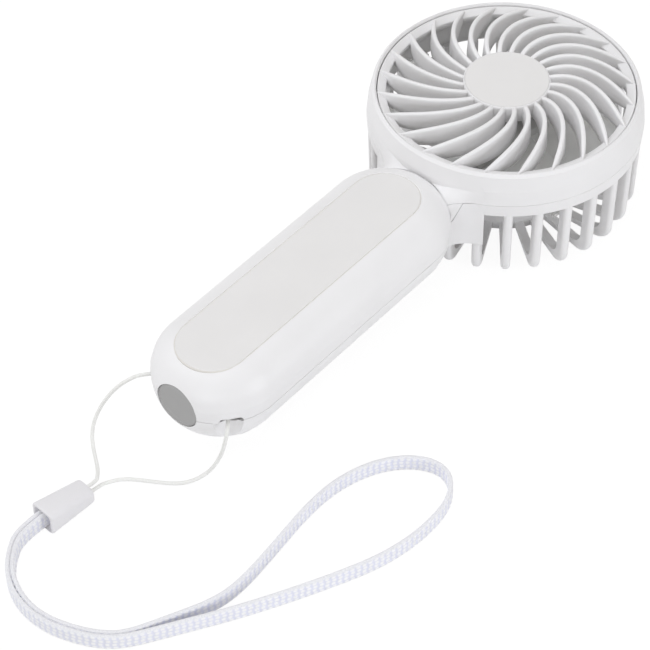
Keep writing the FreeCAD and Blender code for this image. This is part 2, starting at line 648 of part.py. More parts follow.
def handle_wiring():
    """Wires from battery, generator and switch board to the control board."""
    z_board = CONTROL_Z + BOARD_THICK + WIRE_R
    end_y = BATTERY_NEAR_Y - BATTERY_LONG
    z_over = (PLATE_Z + PLATE_THICK + BATTERY_LOW_Z) / 2
    wires = []
    for x in (3.0, 4.6):
        wires.append(wire_run([
            V(x - 8.0, end_y, BATTERY_LOW_Z + 4.0), V(x - 8.0, end_y - 4.0, BATTERY_LOW_Z + 4.0),
            V(x - 8.0, end_y + 0.6, z_board)]))
        wires.append(wire_run([
            V(x + 1.0, SWITCH_BOARD_Y, BUTTON_Z - 2.0), V(x + 1.0, SWITCH_BOARD_Y + 3.0, BUTTON_Z - 2.0),
            V(x + 1.0, CONTROL_FAR_Y + 2.0, z_board)]))
        wires.append(wire_run([
            V(GENERATOR.x + x - 3.8, GENERATOR.y - GENERATOR_R - 0.25, z_over), V(x + 3.4, -80.0, z_over),
            V(x + 3.4, CONTROL_NEAR_Y + 1.0, z_over), V(x + 3.4, CONTROL_NEAR_Y - 1.5, z_board)]))
    return Part.makeCompound(wires)


def rotor_yoke():
    return tube(YOKE_OUT_R, MAGNET_OUT_R, YOKE_LOW_Z, YOKE_HIGH_Z)


def rotor_magnet():
    return tube(MAGNET_OUT_R, MAGNET_IN_R, YOKE_LOW_Z + 1.0, YOKE_HIGH_Z - 1.2)


def blade():
    """One wide twisted blade, leading edge up, at +X."""
    sections = []
    for radius, half_chord, low, high, camber in (
            (HUB_R - 0.8, 8.0, 17.6, 31.4, 1.6), (26.0, 15.0, 18.0, 33.4, 3.0),
            (BLADE_TIP_R + 4.5, 23.0, 20.0, 34.2, 3.6)):
        upper, lower = [], []
        for i in range(5):
            t = i / 4.0
            y = -half_chord + 2 * half_chord * t
            z = low + (high - low) * t - camber * 4 * t * (1 - t) * 0.5
            upper.append(V(radius, y, z + BLADE_THICK / 2))
            lower.append(V(radius, y, z - BLADE_THICK / 2))
        top, bottom = Part.BSplineCurve(), Part.BSplineCurve()
        top.interpolate(upper)
        bottom.interpolate(lower)
        sections.append(Part.Wire([
            top.toShape(), Part.makeLine(upper[-1], lower[-1]), bottom.toShape(),
            Part.makeLine(lower[0], upper[0])]))
    body = Part.makeLoft(sections, True)
    return body.common(tube(BLADE_TIP_R, HUB_R - 0.5, 10, 40))


def impeller():
    """Clear hub and blades in one moulding, pressed on the shaft."""
    hub = turned([
        (YOKE_OUT_R, YOKE_LOW_Z - 0.6), (HUB_R, YOKE_LOW_Z - 0.6), (HUB_R, HUB_TOP_Z - 1.2),
        (HUB_R - 1.2, HUB_TOP_Z), (0, HUB_TOP_Z), (0, HUB_TOP_Z - 0.5), (SHAFT_R, HUB_TOP_Z - 0.5),
        (SHAFT_R, HUB_TOP_Z - HUB_WALL - 2.4), (SHAFT_R + 1.3, HUB_TOP_Z - HUB_WALL - 2.4),
        (SHAFT_R + 1.3, HUB_TOP_Z - HUB_WALL), (YOKE_OUT_R, HUB_TOP_Z - HUB_WALL)])
    blades = [rotated(blade(), 360.0 / BLADE_COUNT * k) for k in range(BLADE_COUNT)]
    return fused([hub] + blades)


# ---------------------------------------------------------------- handle
def handle_profile(inset, top_z, low_z):
    """Half of the handle's cross-section in the XZ plane, x >= 0, at the given inset."""
    mid = HANDLE_MID_Z
    flat = HANDLE_FLAT_HALF
    a = HANDLE_HALF_W - HANDLE_FLAT_HALF - inset
    up, down = top_z - mid, mid - low_z
    arcs = []
    for reach, start, end in ((up, 90, 0), (down, 0, -90)):
        points = []
        for i in range(9):
            t = math.radians(start + (end - start) * i / 8.0)
            points.append(V(flat + a * math.cos(t), 0, mid + reach * math.sin(t)))
        curve = Part.BSplineCurve()
        first = V(1, 0, 0) if start == 90 else V(0, 0, -1)
        last = V(0, 0, -1) if start == 90 else V(-1, 0, 0)
        curve.interpolate(Points=points, InitialTangent=first, FinalTangent=last)
        arcs.append(curve.toShape())
    edges = [
        Part.makeLine(V(0, 0, low_z), V(0, 0, top_z)), Part.makeLine(V(0, 0, top_z), V(flat, 0, top_z)),
        arcs[0], arcs[1], Part.makeLine(V(flat, 0, low_z), V(0, 0, low_z))]
    return Part.Wire(edges)


def handle_body(inset=0.0, front_inset=None):
    """The handle's full pebble shape, or its hollow when inset is the wall."""
    top_z = HANDLE_FRONT_Z - (inset if front_inset is None else front_inset)
    face = Part.Face(handle_profile(inset, top_z, HANDLE_BACK_Z + inset))
    half = face.copy()
    half.translate(V(0, HANDLE_FAR_Y, 0))
    middle = half.extrude(V(0, HANDLE_NEAR_Y - HANDLE_FAR_Y, 0))
    mirror = middle.mirror(V(0, 0, 0), V(1, 0, 0))
    near = face.revolve(V(0, 0, 0), UP, 180)
    near.translate(V(0, HANDLE_NEAR_Y, 0))
    far = face.revolve(V(0, 0, 0), UP, -180)
    far.translate(V(0, HANDLE_FAR_Y, 0))
    return fused([middle, mirror, near, far])


def shell_cutters():
    """What both handle shells leave open: head, neck, button, strap holes and seam."""
    head = cylinder(HEAD_R + HEAD_GAP, -5, 60)
    neck = neck_stub(NECK_LOW_Z - 2, NECK_TOP_Z + 2, gap=NECK_GAP)
    button = Part.makeCylinder(BUTTON_R + BUTTON_GAP, 30, V(0, BUTTON_FACE_Y - 25, BUTTON_Z), V(0, 1, 0))
    button = button.cut(box(-30, 30, BUTTON_FACE_Y + BUTTON_THICK + 1.0, 0, 0, 60))
    holes = [strap_hole(1), strap_hole(-1)]
    return [head, neck, button] + holes


def strap_hole(side):
    """An oblong hole through the tail's corner with a scooped mouth."""
    direction = V(side * STRAP_OUT_X, STRAP_OUT_Y, 0)
    along = V(-direction.y, direction.x, 0)
    middle = V(side * STRAP_HOLE_X, STRAP_HOLE_Y, HANDLE_SPLIT_Z + 0.2)
    start = middle - direction * 5.0
    half = STRAP_HOLE_LONG / 2 - STRAP_HOLE_HIGH / 2
    ends = [Part.makeCylinder(STRAP_HOLE_HIGH / 2, 12.0, start + along * s * half, direction)
            for s in (1, -1)]
    slab = Part.makeBox(2 * half, 12.0, STRAP_HOLE_HIGH)
    slab.translate(V(-half, 0, -STRAP_HOLE_HIGH / 2))
    slab.rotate(V(0, 0, 0), UP, math.degrees(math.atan2(direction.y, direction.x)) - 90.0)
    slab.translate(start)
    return fused([ends[0], slab, ends[1]])


def strap_scoop(side):
    """A groove with sloping sides that leads from the strap hole down the rear shell."""
    direction = V(side * STRAP_OUT_X, STRAP_OUT_Y, 0)
    along = V(-direction.y, direction.x, 0)
    middle = V(side * STRAP_HOLE_X, STRAP_HOLE_Y, HANDLE_BACK_Z)
    deep = middle - direction * STRAP_SCOOP_DEPTH
    spread = (STRAP_SCOOP_MOUTH - STRAP_SCOOP_FLOOR) / STRAP_SCOOP_DEPTH / 2
    reach = 3.0
    far = STRAP_SCOOP_FLOOR / 2 + spread * (STRAP_SCOOP_DEPTH + reach)
    near = STRAP_SCOOP_FLOOR / 2
    out = middle + direction * reach
    corners = [deep + along * near, out + along * far, out - along * far, deep - along * near]
    groove = Part.Face(Part.makePolygon(corners + corners[:1]))
    groove = groove.extrude(V(0, 0, HANDLE_SPLIT_Z - HANDLE_BACK_Z))
    creases = [e for e in groove.Edges if e.BoundBox.ZLength > 5
               and (e.valueAt(e.FirstParameter) - V(0, 0, e.valueAt(e.FirstParameter).z)
                    - V(deep.x, deep.y, 0)).Length < near + 0.1]
    return groove.makeFillet(1.2, creases)


def seam_groove():
    band = box(-60, 60, -200, 0, HANDLE_SPLIT_Z - SEAM_W / 2, HANDLE_SPLIT_Z + SEAM_W / 2)
    return handle_body().cut(handle_body(SEAM_DEPTH)).common(band)


def shell_boss(x, y, z0, z1):
    return cylinder(SHELL_BOSS_R, z0, z1, x, y)


def handle_front_shell(outside, hollow, groove):
    upper = box(-60, 60, -200, 0, HANDLE_SPLIT_Z, 60)
    bosses = [shell_boss(x, y, HANDLE_SPLIT_Z, HANDLE_FRONT_Z).common(outside) for x, y in SHELL_SCREWS]
    ribs = [box(-18, 18, y, y + 1.4, BATTERY_TOP_Z + BATTERY_TOP_GAP - 0.2, HANDLE_FRONT_Z).common(hollow)
            for y in (BATTERY_NEAR_Y - 12.0, BATTERY_NEAR_Y - BATTERY_LONG + 10.0)]
    post_sockets = [tube(POST_R + 1.2, POST_R, 30.6, HANDLE_FRONT_Z, s * POST_X, POST_Y).common(outside)
                    for s in (1, -1)]
    shell = outside.cut(hollow).common(upper)
    shell = fused([shell] + [b.common(upper) for b in bosses] + ribs + post_sockets)
    pocket_w = PANEL_HALF_W + PANEL_GAP
    shell = shell.cut(stadium(pocket_w, PANEL_NEAR_Y, PANEL_FAR_Y, PANEL_TOP_Z - PANEL_THICK,
                              HANDLE_FRONT_Z + 1))
    shell = shell.cut(Part.makeLoft([
        stadium_outline(pocket_w, PANEL_NEAR_Y, PANEL_FAR_Y, PANEL_TOP_Z - PANEL_LIP),
        stadium_outline(pocket_w + 2 * PANEL_LIP, PANEL_NEAR_Y, PANEL_FAR_Y, PANEL_TOP_Z + PANEL_LIP)],
        True))
    for cutter in shell_cutters() + [groove]:
        shell = shell.cut(cutter)
    for x, y in SHELL_SCREWS:
        shell = shell.cut(cylinder(SHELL_SCREW_R, HANDLE_SPLIT_Z - 1, 33.0, x, y))
    for s in (1, -1):
        shell = shell.cut(cylinder(POST_R, HANDLE_SPLIT_Z, POST_HIGH_Z, s * POST_X, POST_Y))
    return shell


def handle_rear_shell(outside, hollow, groove):
    lower = box(-60, 60, -200, 0, 0, HANDLE_SPLIT_Z)
    bosses = [shell_boss(x, y, HANDLE_BACK_Z, HANDLE_SPLIT_Z).common(outside) for x, y in SHELL_SCREWS]
    pillars = [cylinder(PILLAR_R, HANDLE_BACK_Z + 0.5, PLATE_Z, x, y).common(outside)
               for x, y in PLATE_PILLARS]
    seats = [cylinder(AXLE_R + 1.1, HANDLE_BACK_Z + 0.5, FLOOR_Z + 1.0, p.x, p.y)
             for p in (IDLER_A, IDLER_B, GENERATOR)]
    board_posts = [cylinder(1.8, HANDLE_BACK_Z + 0.5, CONTROL_Z, x, y).common(outside)
                   for x, y in CONTROL_POSTS]
    post_sockets = [tube(POST_R + 1.2, POST_R, HANDLE_BACK_Z + 1, 17.0, s * POST_X, POST_Y).common(outside)
                    for s in (1, -1)]
    rails = switch_board_rails().common(outside)
    pads = [Part.makeSphere(STRAP_PAD_R, V(s * STRAP_HOLE_X, STRAP_HOLE_Y, HANDLE_SPLIT_Z - 3.0))
            .common(outside).common(box(-60, 60, -200, 0, 0, STRAP_PAD_TOP_Z)) for s in (1, -1)]
    shell = fused([outside.cut(hollow).common(lower)] + bosses + pillars + seats + board_posts +
                  post_sockets + [rails] + pads)
    for cutter in shell_cutters() + [groove, strap_scoop(1), strap_scoop(-1)]:
        shell = shell.cut(cutter)
    for x, y in SHELL_SCREWS:
        shell = shell.cut(cylinder(SHELL_SCREW_R + 0.1, 0, HANDLE_SPLIT_Z + 1, x, y))
        shell = shell.cut(cylinder(SHELL_SCREW_HEAD_R + 0.2, 0, SHELL_SCREW_Z, x, y))
    for x, y in PLATE_PILLARS:
        shell = shell.cut(cylinder(0.8, PLATE_Z - 5.0, PLATE_Z + 1, x, y))
    for p in (IDLER_A, IDLER_B):
        shell = shell.cut(cylinder(AXLE_R, FLOOR_Z - 0.3, FLOOR_Z + 3, p.x, p.y))
    shell = shell.cut(cylinder(SHAFT_R, FLOOR_Z, FLOOR_Z + 3, GENERATOR.x, GENERATOR.y))
    for s in (1, -1):
        shell = shell.cut(cylinder(POST_R, POST_LOW_Z, HANDLE_SPLIT_Z, s * POST_X, POST_Y))
    return shell.cut(cylinder(BUSH_R, 0, FLOOR_Z + 2, 0, CRANK_Y))


def front_panel():
    panel = stadium(PANEL_HALF_W, PANEL_NEAR_Y, PANEL_FAR_Y, PANEL_TOP_Z - PANEL_THICK, PANEL_TOP_Z)
    rim = [e for e in panel.Edges if e.BoundBox.ZMin > PANEL_TOP_Z - 1e-6]
    return panel.makeFillet(PANEL_EDGE_R, rim)


def shell_screws():
    screws = []
    for x, y in SHELL_SCREWS:
        head = cylinder(SHELL_SCREW_HEAD_R, SHELL_SCREW_Z - 1.4, SHELL_SCREW_Z, x, y)
        shank = cylinder(SHELL_SCREW_R - 0.05, SHELL_SCREW_Z, 32.0, x, y)
        slot = box(x - 1.3, x + 1.3, y - 0.25, y + 0.25, SHELL_SCREW_Z - 1.5, SHELL_SCREW_Z - 0.8)
        cross = box(x - 0.25, x + 0.25, y - 1.3, y + 1.3, SHELL_SCREW_Z - 1.5, SHELL_SCREW_Z - 0.8)
        screws.append(head.fuse(shank).removeSplitter().cut(slot).cut(cross))
    return Part.makeCompound(screws)


# ---------------------------------------------------------------- power button and boards
def plunger_end_y():
    return SWITCH_BOARD_Y - BOARD_THICK - SWITCH_DEPTH - PLUNGER_OUT


def power_button():
    y = BUTTON_FACE_Y
    cap = Part.makeCylinder(BUTTON_R, BUTTON_THICK, V(0, y, BUTTON_Z), V(0, 1, 0))
    stem_long = plunger_end_y() - y - BUTTON_THICK / 2
    stem = Part.makeCylinder(BUTTON_STEM_R, stem_long, V(0, y + BUTTON_THICK / 2, BUTTON_Z), V(0, 1, 0))
    front = [e for e in cap.Edges if abs(e.BoundBox.YMax - y) < 1e-6 and len(e.Vertexes) == 1]
    return fused([cap.makeFillet(0.5, front), stem])


def switch_plunger():
    return Part.makeCylinder(PLUNGER_R, 2 * PLUNGER_OUT, V(0, plunger_end_y(), BUTTON_Z), V(0, 1, 0))


def tact_switch():
    y1 = SWITCH_BOARD_Y - BOARD_THICK
    y0 = y1 - SWITCH_DEPTH
    body = box(-SWITCH_HALF, SWITCH_HALF, y0, y1, BUTTON_Z - SWITCH_HALF, BUTTON_Z + SWITCH_HALF)
    well = PLUNGER_OUT + BUTTON_TRAVEL + 0.1
    return body.cut(Part.makeCylinder(PLUNGER_R + 0.1, 1 + well, V(0, y0 - 1, BUTTON_Z), V(0, 1, 0)))


def switch_board():
    low = BUTTON_Z - SWITCH_BOARD_H / 2
    return box(-SWITCH_BOARD_HALF_W, SWITCH_BOARD_HALF_W, SWITCH_BOARD_Y - BOARD_THICK,
               SWITCH_BOARD_Y, low, low + SWITCH_BOARD_H)


def switch_board_rails():
    """Two grooved rails of the rear shell that hold the upright board."""
    y0, y1 = SWITCH_BOARD_Y - BOARD_THICK - 1.1, SWITCH_BOARD_Y + 1.1
    low = BUTTON_Z - SWITCH_BOARD_H / 2
    rails = []
    for s in (1, -1):
        x0, x1 = sorted((s * (SWITCH_BOARD_HALF_W - 1.2), s * (SWITCH_BOARD_HALF_W + 1.2)))
        rails.append(box(x0, x1, y0, y1, HANDLE_BACK_Z + 1, HANDLE_SPLIT_Z - 1.0))
    groove = box(-SWITCH_BOARD_HALF_W - 0.1, SWITCH_BOARD_HALF_W + 0.1,
                 SWITCH_BOARD_Y - BOARD_THICK, SWITCH_BOARD_Y, low, 60)
    return Part.makeCompound([r.cut(groove) for r in rails])


def control_board():
    z1 = CONTROL_Z + BOARD_THICK
    board = box(-CONTROL_HALF_W, CONTROL_HALF_W, CONTROL_FAR_Y, CONTROL_NEAR_Y, CONTROL_Z, z1)
    parts = [box(-6, -1, -131, -125, z1, z1 + 1.2), box(2.5, 8.5, -129, -123, z1, z1 + 2.6),
             box(-8.5, -4.5, -141, -136, z1, z1 + 1.6), box(1.0, 4.0, -141, -137, z1, z1 + 1.6)]
    parts.append(cylinder(2.2, z1, z1 + 5.0, 8.0, -139.0))
    return fused([board] + parts)


def battery_cell():
    return rounded_box(-BATTERY_HALF_W, BATTERY_HALF_W, BATTERY_NEAR_Y - BATTERY_LONG, BATTERY_NEAR_Y,
                       BATTERY_LOW_Z, BATTERY_TOP_Z, 2.2)


def strap_posts():
    return Part.makeCompound([cylinder(POST_R - 0.02, POST_LOW_Z, POST_HIGH_Z, s * POST_X, POST_Y)
                              for s in (1, -1)])


# ---------------------------------------------------------------- gear train
def involute_gear(teeth, z0, thickness, bore, centre, tooth_at, wheel):
    """A spur gear; tooth_at is the direction in degrees of one tooth's middle."""
    rp = pitch_r(teeth)
    tip = rp + MODULE * (0.75 if wheel else 1.0)
    root = rp - MODULE * (1.25 if wheel else 1.0)
    base = rp * math.cos(math.radians(PRESSURE_ANGLE))
    phi = math.radians(PRESSURE_ANGLE)
    half_tooth = (math.pi * MODULE / 2 - TOOTH_SLACK) / (2 * rp) + math.tan(phi) - phi

    def flank_angle(radius):
        if radius <= base:
            return half_tooth
        a = math.acos(base / radius)
        return half_tooth - (math.tan(a) - a)

    start = max(base, root)
    radii = [start + (tip - start) * i / 4.0 for i in range(5)]
    edges = []
    pitch = 2 * math.pi / teeth

    def spot(radius, angle):
        return V(radius * math.cos(angle), radius * math.sin(angle), z0)

    for k in range(teeth):
        mid = math.radians(tooth_at) + k * pitch
        rising = [spot(r, mid - flank_angle(r)) for r in radii]
        falling = [spot(r, mid + flank_angle(r)) for r in reversed(radii)]
        root_a = spot(root, mid - flank_angle(start))
        root_b = spot(root, mid + flank_angle(start))
        next_root = spot(root, mid + pitch - flank_angle(start))
        if root < base:
            edges.append(Part.makeLine(root_a, rising[0]))
        rise, fall = Part.BSplineCurve(), Part.BSplineCurve()
        rise.interpolate(rising)
        fall.interpolate(falling)
        tip_arc = Part.Arc(rising[-1], spot(tip, mid), falling[0])
        edges += [rise.toShape(), tip_arc.toShape(), fall.toShape()]
        if root < base:
            edges.append(Part.makeLine(falling[-1], root_b))
        valley = mid + pitch / 2
        edges.append(Part.Arc(root_b, spot(root, valley), next_root).toShape())
    gear = Part.Face(Part.Wire(edges)).extrude(V(0, 0, thickness))
    gear.translate(V(centre.x, centre.y, 0))
    if bore:
        gear = gear.cut(cylinder(bore, z0 - 1, z0 + thickness + 1, centre.x, centre.y))
    return gear


def direction(a, b):
    return math.degrees(math.atan2(b.y - a.y, b.x - a.x))


def meshing_gap(a, b, teeth):
    """Where a gear at b needs a tooth so that a gap faces the tooth coming from a."""
    return direction(b, a) + 180.0 / teeth


def wheel_holes(shape, centre, radius, hole_r, z0, z1, count=5):
    for k in range(count):
        p = polar(radius, 360.0 / count * k) + centre
        shape = shape.cut(cylinder(hole_r, z0 - 1, z1 + 1, p.x, p.y))
    return shape


def crank_gear():
    gear = involute_gear(CRANK_TEETH, CRANK_GEAR_Z, GEAR_THICK, CRANK_SHAFT_R, CRANK_AXIS,
                         direction(CRANK_AXIS, IDLER_A), True)
    hub = tube(CRANK_SHAFT_R + 1.8, CRANK_SHAFT_R, CRANK_GEAR_Z - 0.8, CRANK_GEAR_Z + GEAR_THICK + 0.6,
               0, CRANK_Y)
    gear = wheel_holes(gear, CRANK_AXIS, 7.9, 2.1, CRANK_GEAR_Z, CRANK_GEAR_Z + GEAR_THICK)
    return fused([gear, hub])


def compound_idler(centre, driver, pinion_z, wheel_teeth, wheel_z, follower):
    """Pinion and wheel in one piece: the pinion meshes with driver, the wheel with follower."""
    bore = AXLE_R + RUN_GAP
    pinion = involute_gear(PINION_TEETH, pinion_z, wheel_z - pinion_z + 0.4, 0, centre,
                           meshing_gap(driver, centre, PINION_TEETH), False)
    wheel = involute_gear(wheel_teeth, wheel_z, GEAR_THICK, 0, centre, direction(centre, follower), True)
    wheel = wheel_holes(wheel, centre, pitch_r(wheel_teeth) * 0.62, 1.7, wheel_z, wheel_z + GEAR_THICK)
    gear = fused([pinion, wheel])
    return gear.cut(cylinder(bore, pinion_z - 1, wheel_z + GEAR_THICK + 1, centre.x, centre.y))


def idler_gear_a():
    return compound_idler(IDLER_A, CRANK_AXIS, CRANK_GEAR_Z - 0.2, WHEEL_A_TEETH, WHEEL_A_Z, IDLER_B)


def idler_gear_b():
    return compound_idler(IDLER_B, IDLER_A, WHEEL_A_Z - 0.2, WHEEL_B_TEETH, WHEEL_B_Z, GENERATOR)


def generator_pinion():
    return involute_gear(PINION_TEETH, WHEEL_B_Z - 0.2, GEAR_THICK + 0.2, SHAFT_R, GENERATOR,
                         meshing_gap(IDLER_B, GENERATOR, PINION_TEETH), False)


def axle(centre):
    return cylinder(AXLE_R, FLOOR_Z - 0.3, PLATE_Z + PLATE_THICK, centre.x, centre.y)


def gearbox_plate():
    plate = box(-PLATE_HALF_W, PLATE_HALF_W, PLATE_FAR_Y, PLATE_NEAR_Y, PLATE_Z, PLATE_Z + PLATE_THICK)
    corners = [e for e in plate.Edges if abs(abs(e.tangentAt(e.FirstParameter).z) - 1) < 1e-6]
    plate = plate.makeFillet(2.5, corners)
    ears = [cylinder(PILLAR_R + 0.4, PLATE_Z, PLATE_Z + PLATE_THICK, x, y) for x, y in PLATE_PILLARS]
    plate = fused([plate] + ears)
    for p in (IDLER_A, IDLER_B):
        plate = plate.cut(cylinder(AXLE_R, PLATE_Z - 1, PLATE_Z + 3, p.x, p.y))
    plate = plate.cut(cylinder(SHAFT_R + 0.3, PLATE_Z - 1, PLATE_Z + 3, GENERATOR.x, GENERATOR.y))
    plate = plate.cut(cylinder(CRANK_SHAFT_R + RUN_GAP, PLATE_Z - 1, PLATE_Z + 3, 0, CRANK_Y))
    for x, y in PLATE_PILLARS:
        plate = plate.cut(cylinder(1.0, PLATE_Z - 1, PLATE_Z + 3, x, y))
    return plate


def plate_screws():
    screws = []
    top = PLATE_Z + PLATE_THICK
    for x, y in PLATE_PILLARS:
        head = cylinder(1.8, top, top + 1.2, x, y)
        shank = cylinder(0.75, PLATE_Z - 4.5, top, x, y)
        screws.append(head.fuse(shank).removeSplitter())
    return Part.makeCompound(screws)


PLATE_PILLARS = [(13.6, -75.0), (-10.6, -65.2), (-12.6, -89.0), (12.6, -113.0), (-12.6, -113.0)]
CONTROL_POSTS = [(9.5, -121.5), (-9.5, -121.5), (0.0, -143.0)]


# ---------------------------------------------------------------- generator
def generator_can():
    z0 = GENERATOR_LOW_Z
    can = tube(GENERATOR_R, GENERATOR_R - GENERATOR_WALL, z0, z0 + GENERATOR_H, GENERATOR.x, GENERATOR.y)
    floor = tube(GENERATOR_R - GENERATOR_WALL, SHAFT_R + RUN_GAP, z0, z0 + 1.0, GENERATOR.x, GENERATOR.y)
    return fused([can, floor])


def generator_cap():
    z1 = GENERATOR_LOW_Z + GENERATOR_H
    return tube(GENERATOR_R - GENERATOR_WALL, SHAFT_R + RUN_GAP, z1 - 1.2, z1 + 0.3,
                GENERATOR.x, GENERATOR.y)


def generator_coils():
    z0 = GENERATOR_LOW_Z + 1.6
    return tube(GENERATOR_R - GENERATOR_WALL, GENERATOR_R - 2.8, z0, z0 + 5.6, GENERATOR.x, GENERATOR.y)


def generator_magnet():
    z0 = GENERATOR_LOW_Z + 1.8
    return tube(4.7, SHAFT_R, z0, z0 + 5.2, GENERATOR.x, GENERATOR.y)


def generator_shaft():
    return cylinder(SHAFT_R - 0.02, FLOOR_Z + 0.3, GENERATOR_LOW_Z + GENERATOR_H, GENERATOR.x, GENERATOR.y)


# ---------------------------------------------------------------- crank
def crank_bush():
    flange_low = HANDLE_BACK_Z - BUSH_FLANGE_THICK
    return turned([
        (CRANK_SHAFT_R + RUN_GAP, flange_low), (BUSH_FLANGE_R, flange_low),
        (BUSH_FLANGE_R, HANDLE_BACK_Z), (BUSH_R, HANDLE_BACK_Z), (BUSH_R, FLOOR_Z + 0.6),
        (CRANK_SHAFT_R + RUN_GAP, FLOOR_Z + 0.6)], CRANK_AXIS)


def crank_shaft():
    top = PLATE_Z + PLATE_THICK
    shaft = cylinder(CRANK_SHAFT_R, ARM_LOW_Z + 1.6, top, 0, CRANK_Y)
    return shaft.cut(cylinder(1.0, ARM_LOW_Z, ARM_LOW_Z + 8.0, 0, CRANK_Y))


def crank_screw():
    head = cylinder(2.6, ARM_LOW_Z + 0.1, ARM_LOW_Z + 1.6, 0, CRANK_Y)
    shank = cylinder(0.98, ARM_LOW_Z + 1.6, ARM_LOW_Z + 7.5, 0, CRANK_Y)
    slot = box(-1.7, 1.7, CRANK_Y - 0.3, CRANK_Y + 0.3, ARM_LOW_Z, ARM_LOW_Z + 0.8)
    cross = box(-0.3, 0.3, CRANK_Y - 1.7, CRANK_Y + 1.7, ARM_LOW_Z, ARM_LOW_Z + 0.8)
    return head.fuse(shank).removeSplitter().cut(slot).cut(cross)


def crank_arm():
    """Flat lever; its outer end is forked round the folded knob and reaches down to the rest plane."""
    end_y = KNOB_PIN_Y - ARM_END_PAST_PIN
    lever = stadium(ARM_HALF_W, CRANK_Y, end_y + ARM_HALF_W, ARM_LOW_Z, ARM_TOP_Z)
    hub = cylinder(ARM_HUB_R, ARM_LOW_Z, ARM_TOP_Z, 0, CRANK_Y)
    foot_near = KNOB_PIN_Y + 5.0
    foot = stadium(ARM_HALF_W, foot_near, end_y + ARM_HALF_W, 0.0, ARM_TOP_Z)
    foot = foot.cut(box(-20, 20, foot_near, foot_near + 20, -1, ARM_LOW_Z))
    arm = fused([lever, hub, foot])
    slot_half = KNOB_R + KNOB_SLOT_GAP
    slot_near = KNOB_PIN_Y + KNOB_LONG + EAR_LONG + 1.6
    grip_near = KNOB_PIN_Y + EAR_LONG - KNOB_SLOT_GAP
    arm = arm.cut(box(-slot_half, slot_half, end_y - 1, slot_near, -1, ARM_TOP_Z - FORK_ROOF))
    arm = arm.cut(box(-slot_half, slot_half, grip_near, slot_near, -1, ARM_TOP_Z + 1))
    arm = arm.cut(cylinder(CRANK_SHAFT_R, ARM_LOW_Z + 1.6, ARM_TOP_Z + 1, 0, CRANK_Y))
    arm = arm.cut(cylinder(2.7, ARM_LOW_Z - 1, ARM_LOW_Z + 1.6, 0, CRANK_Y))
    pin_hole = Part.makeCylinder(KNOB_PIN_R, 60, V(-30, KNOB_PIN_Y, KNOB_AXIS_Z), V(1, 0, 0))
    return arm.cut(pin_hole)


def knob_pin():
    reach = ARM_HALF_W - 0.3
    return Part.makeCylinder(KNOB_PIN_R, 2 * reach, V(-reach, KNOB_PIN_Y, KNOB_AXIS_Z), V(1, 0, 0))


def knob_stem():
    """The knob's core: an eye round the fold pin and a spindle, with a head that keeps the grip on."""
    eye = Part.makeCylinder(3.2, 2 * (KNOB_R - 0.4), V(-KNOB_R + 0.4, KNOB_PIN_Y, KNOB_AXIS_Z), V(1, 0, 0))
    collar = Part.makeCylinder(3.2, EAR_LONG, V(0, KNOB_PIN_Y, KNOB_AXIS_Z), V(0, 1, 0))
    spindle_long = EAR_LONG + KNOB_LONG - 1.0
    spindle = Part.makeCylinder(STEM_R, spindle_long, V(0, KNOB_PIN_Y, KNOB_AXIS_Z), V(0, 1, 0))
    end_y = KNOB_PIN_Y + EAR_LONG + KNOB_LONG
    head = Part.makeCylinder(2.9, 1.2, V(0, end_y - 1.2, KNOB_AXIS_Z), V(0, 1, 0))
    stem = fused([eye, collar, spindle, head])
    across = V(-15, KNOB_PIN_Y, KNOB_AXIS_Z)
    return stem.cut(Part.makeCylinder(KNOB_PIN_R + RUN_GAP, 30, across, V(1, 0, 0)))


def knob_grip():
    start = KNOB_PIN_Y + EAR_LONG + 0.2
    long = KNOB_LONG - 0.4
    body = Part.makeCylinder(KNOB_R, long, V(0, start, KNOB_AXIS_Z), V(0, 1, 0))
    ends = [e for e in body.Edges if len(e.Vertexes) == 1]
    body = body.makeFillet(0.8, ends)
    bore = Part.makeCylinder(STEM_R + RUN_GAP, long + 2, V(0, start - 1, KNOB_AXIS_Z), V(0, 1, 0))
    head_room = Part.makeCylinder(2.9 + RUN_GAP, 3, V(0, start + long - 1.3, KNOB_AXIS_Z), V(0, 1, 0))
    return body.cut(bore).cut(head_room)


# ---------------------------------------------------------------- wrist strap
# Points of the string from its knot in the right hole down to the sleeve, and from the left one.
STRING_RIGHT = [
    V(13.3, -150.9, 24.2), V(17.0, -155.6, 23.4), V(16.4, -156.1, 19.5), V(15.3, -156.2, 14.8),
    V(13.4, -156.8, 9.0), V(11.1, -158.2, 4.0), V(8.5, -161.4, 1.2), V(5.6, -165.3, STRING_FLOOR_Z),
    V(0.6, -168.8, STRING_FLOOR_Z), V(-4.6, -171.7, STRING_FLOOR_Z), V(-9.1, -174.8, STRING_FLOOR_Z),
    V(-11.2, -178.3, 0.9), V(-11.9, -181.2, 1.7), V(-12.1, -187.8, 2.2)]
STRING_LEFT = [
    V(-13.3, -150.9, 24.2), V(-17.6, -155.5, 24.4), V(-19.9, -157.6, 22.6), V(-22.1, -159.9, 20.4),
    V(-24.5, -162.0, 16.6), V(-26.4, -164.5, 11.9), V(-27.2, -166.9, 7.4), V(-26.4, -169.3, 3.6),
    V(-24.2, -171.4, 1.4), V(-20.8, -173.9, STRING_FLOOR_Z), V(-17.5, -176.4, STRING_FLOOR_Z),
    V(-14.5, -179.4, 2.1), V(-12.2, -182.5, 3.9), V(-13.4, -187.8, 3.9)]
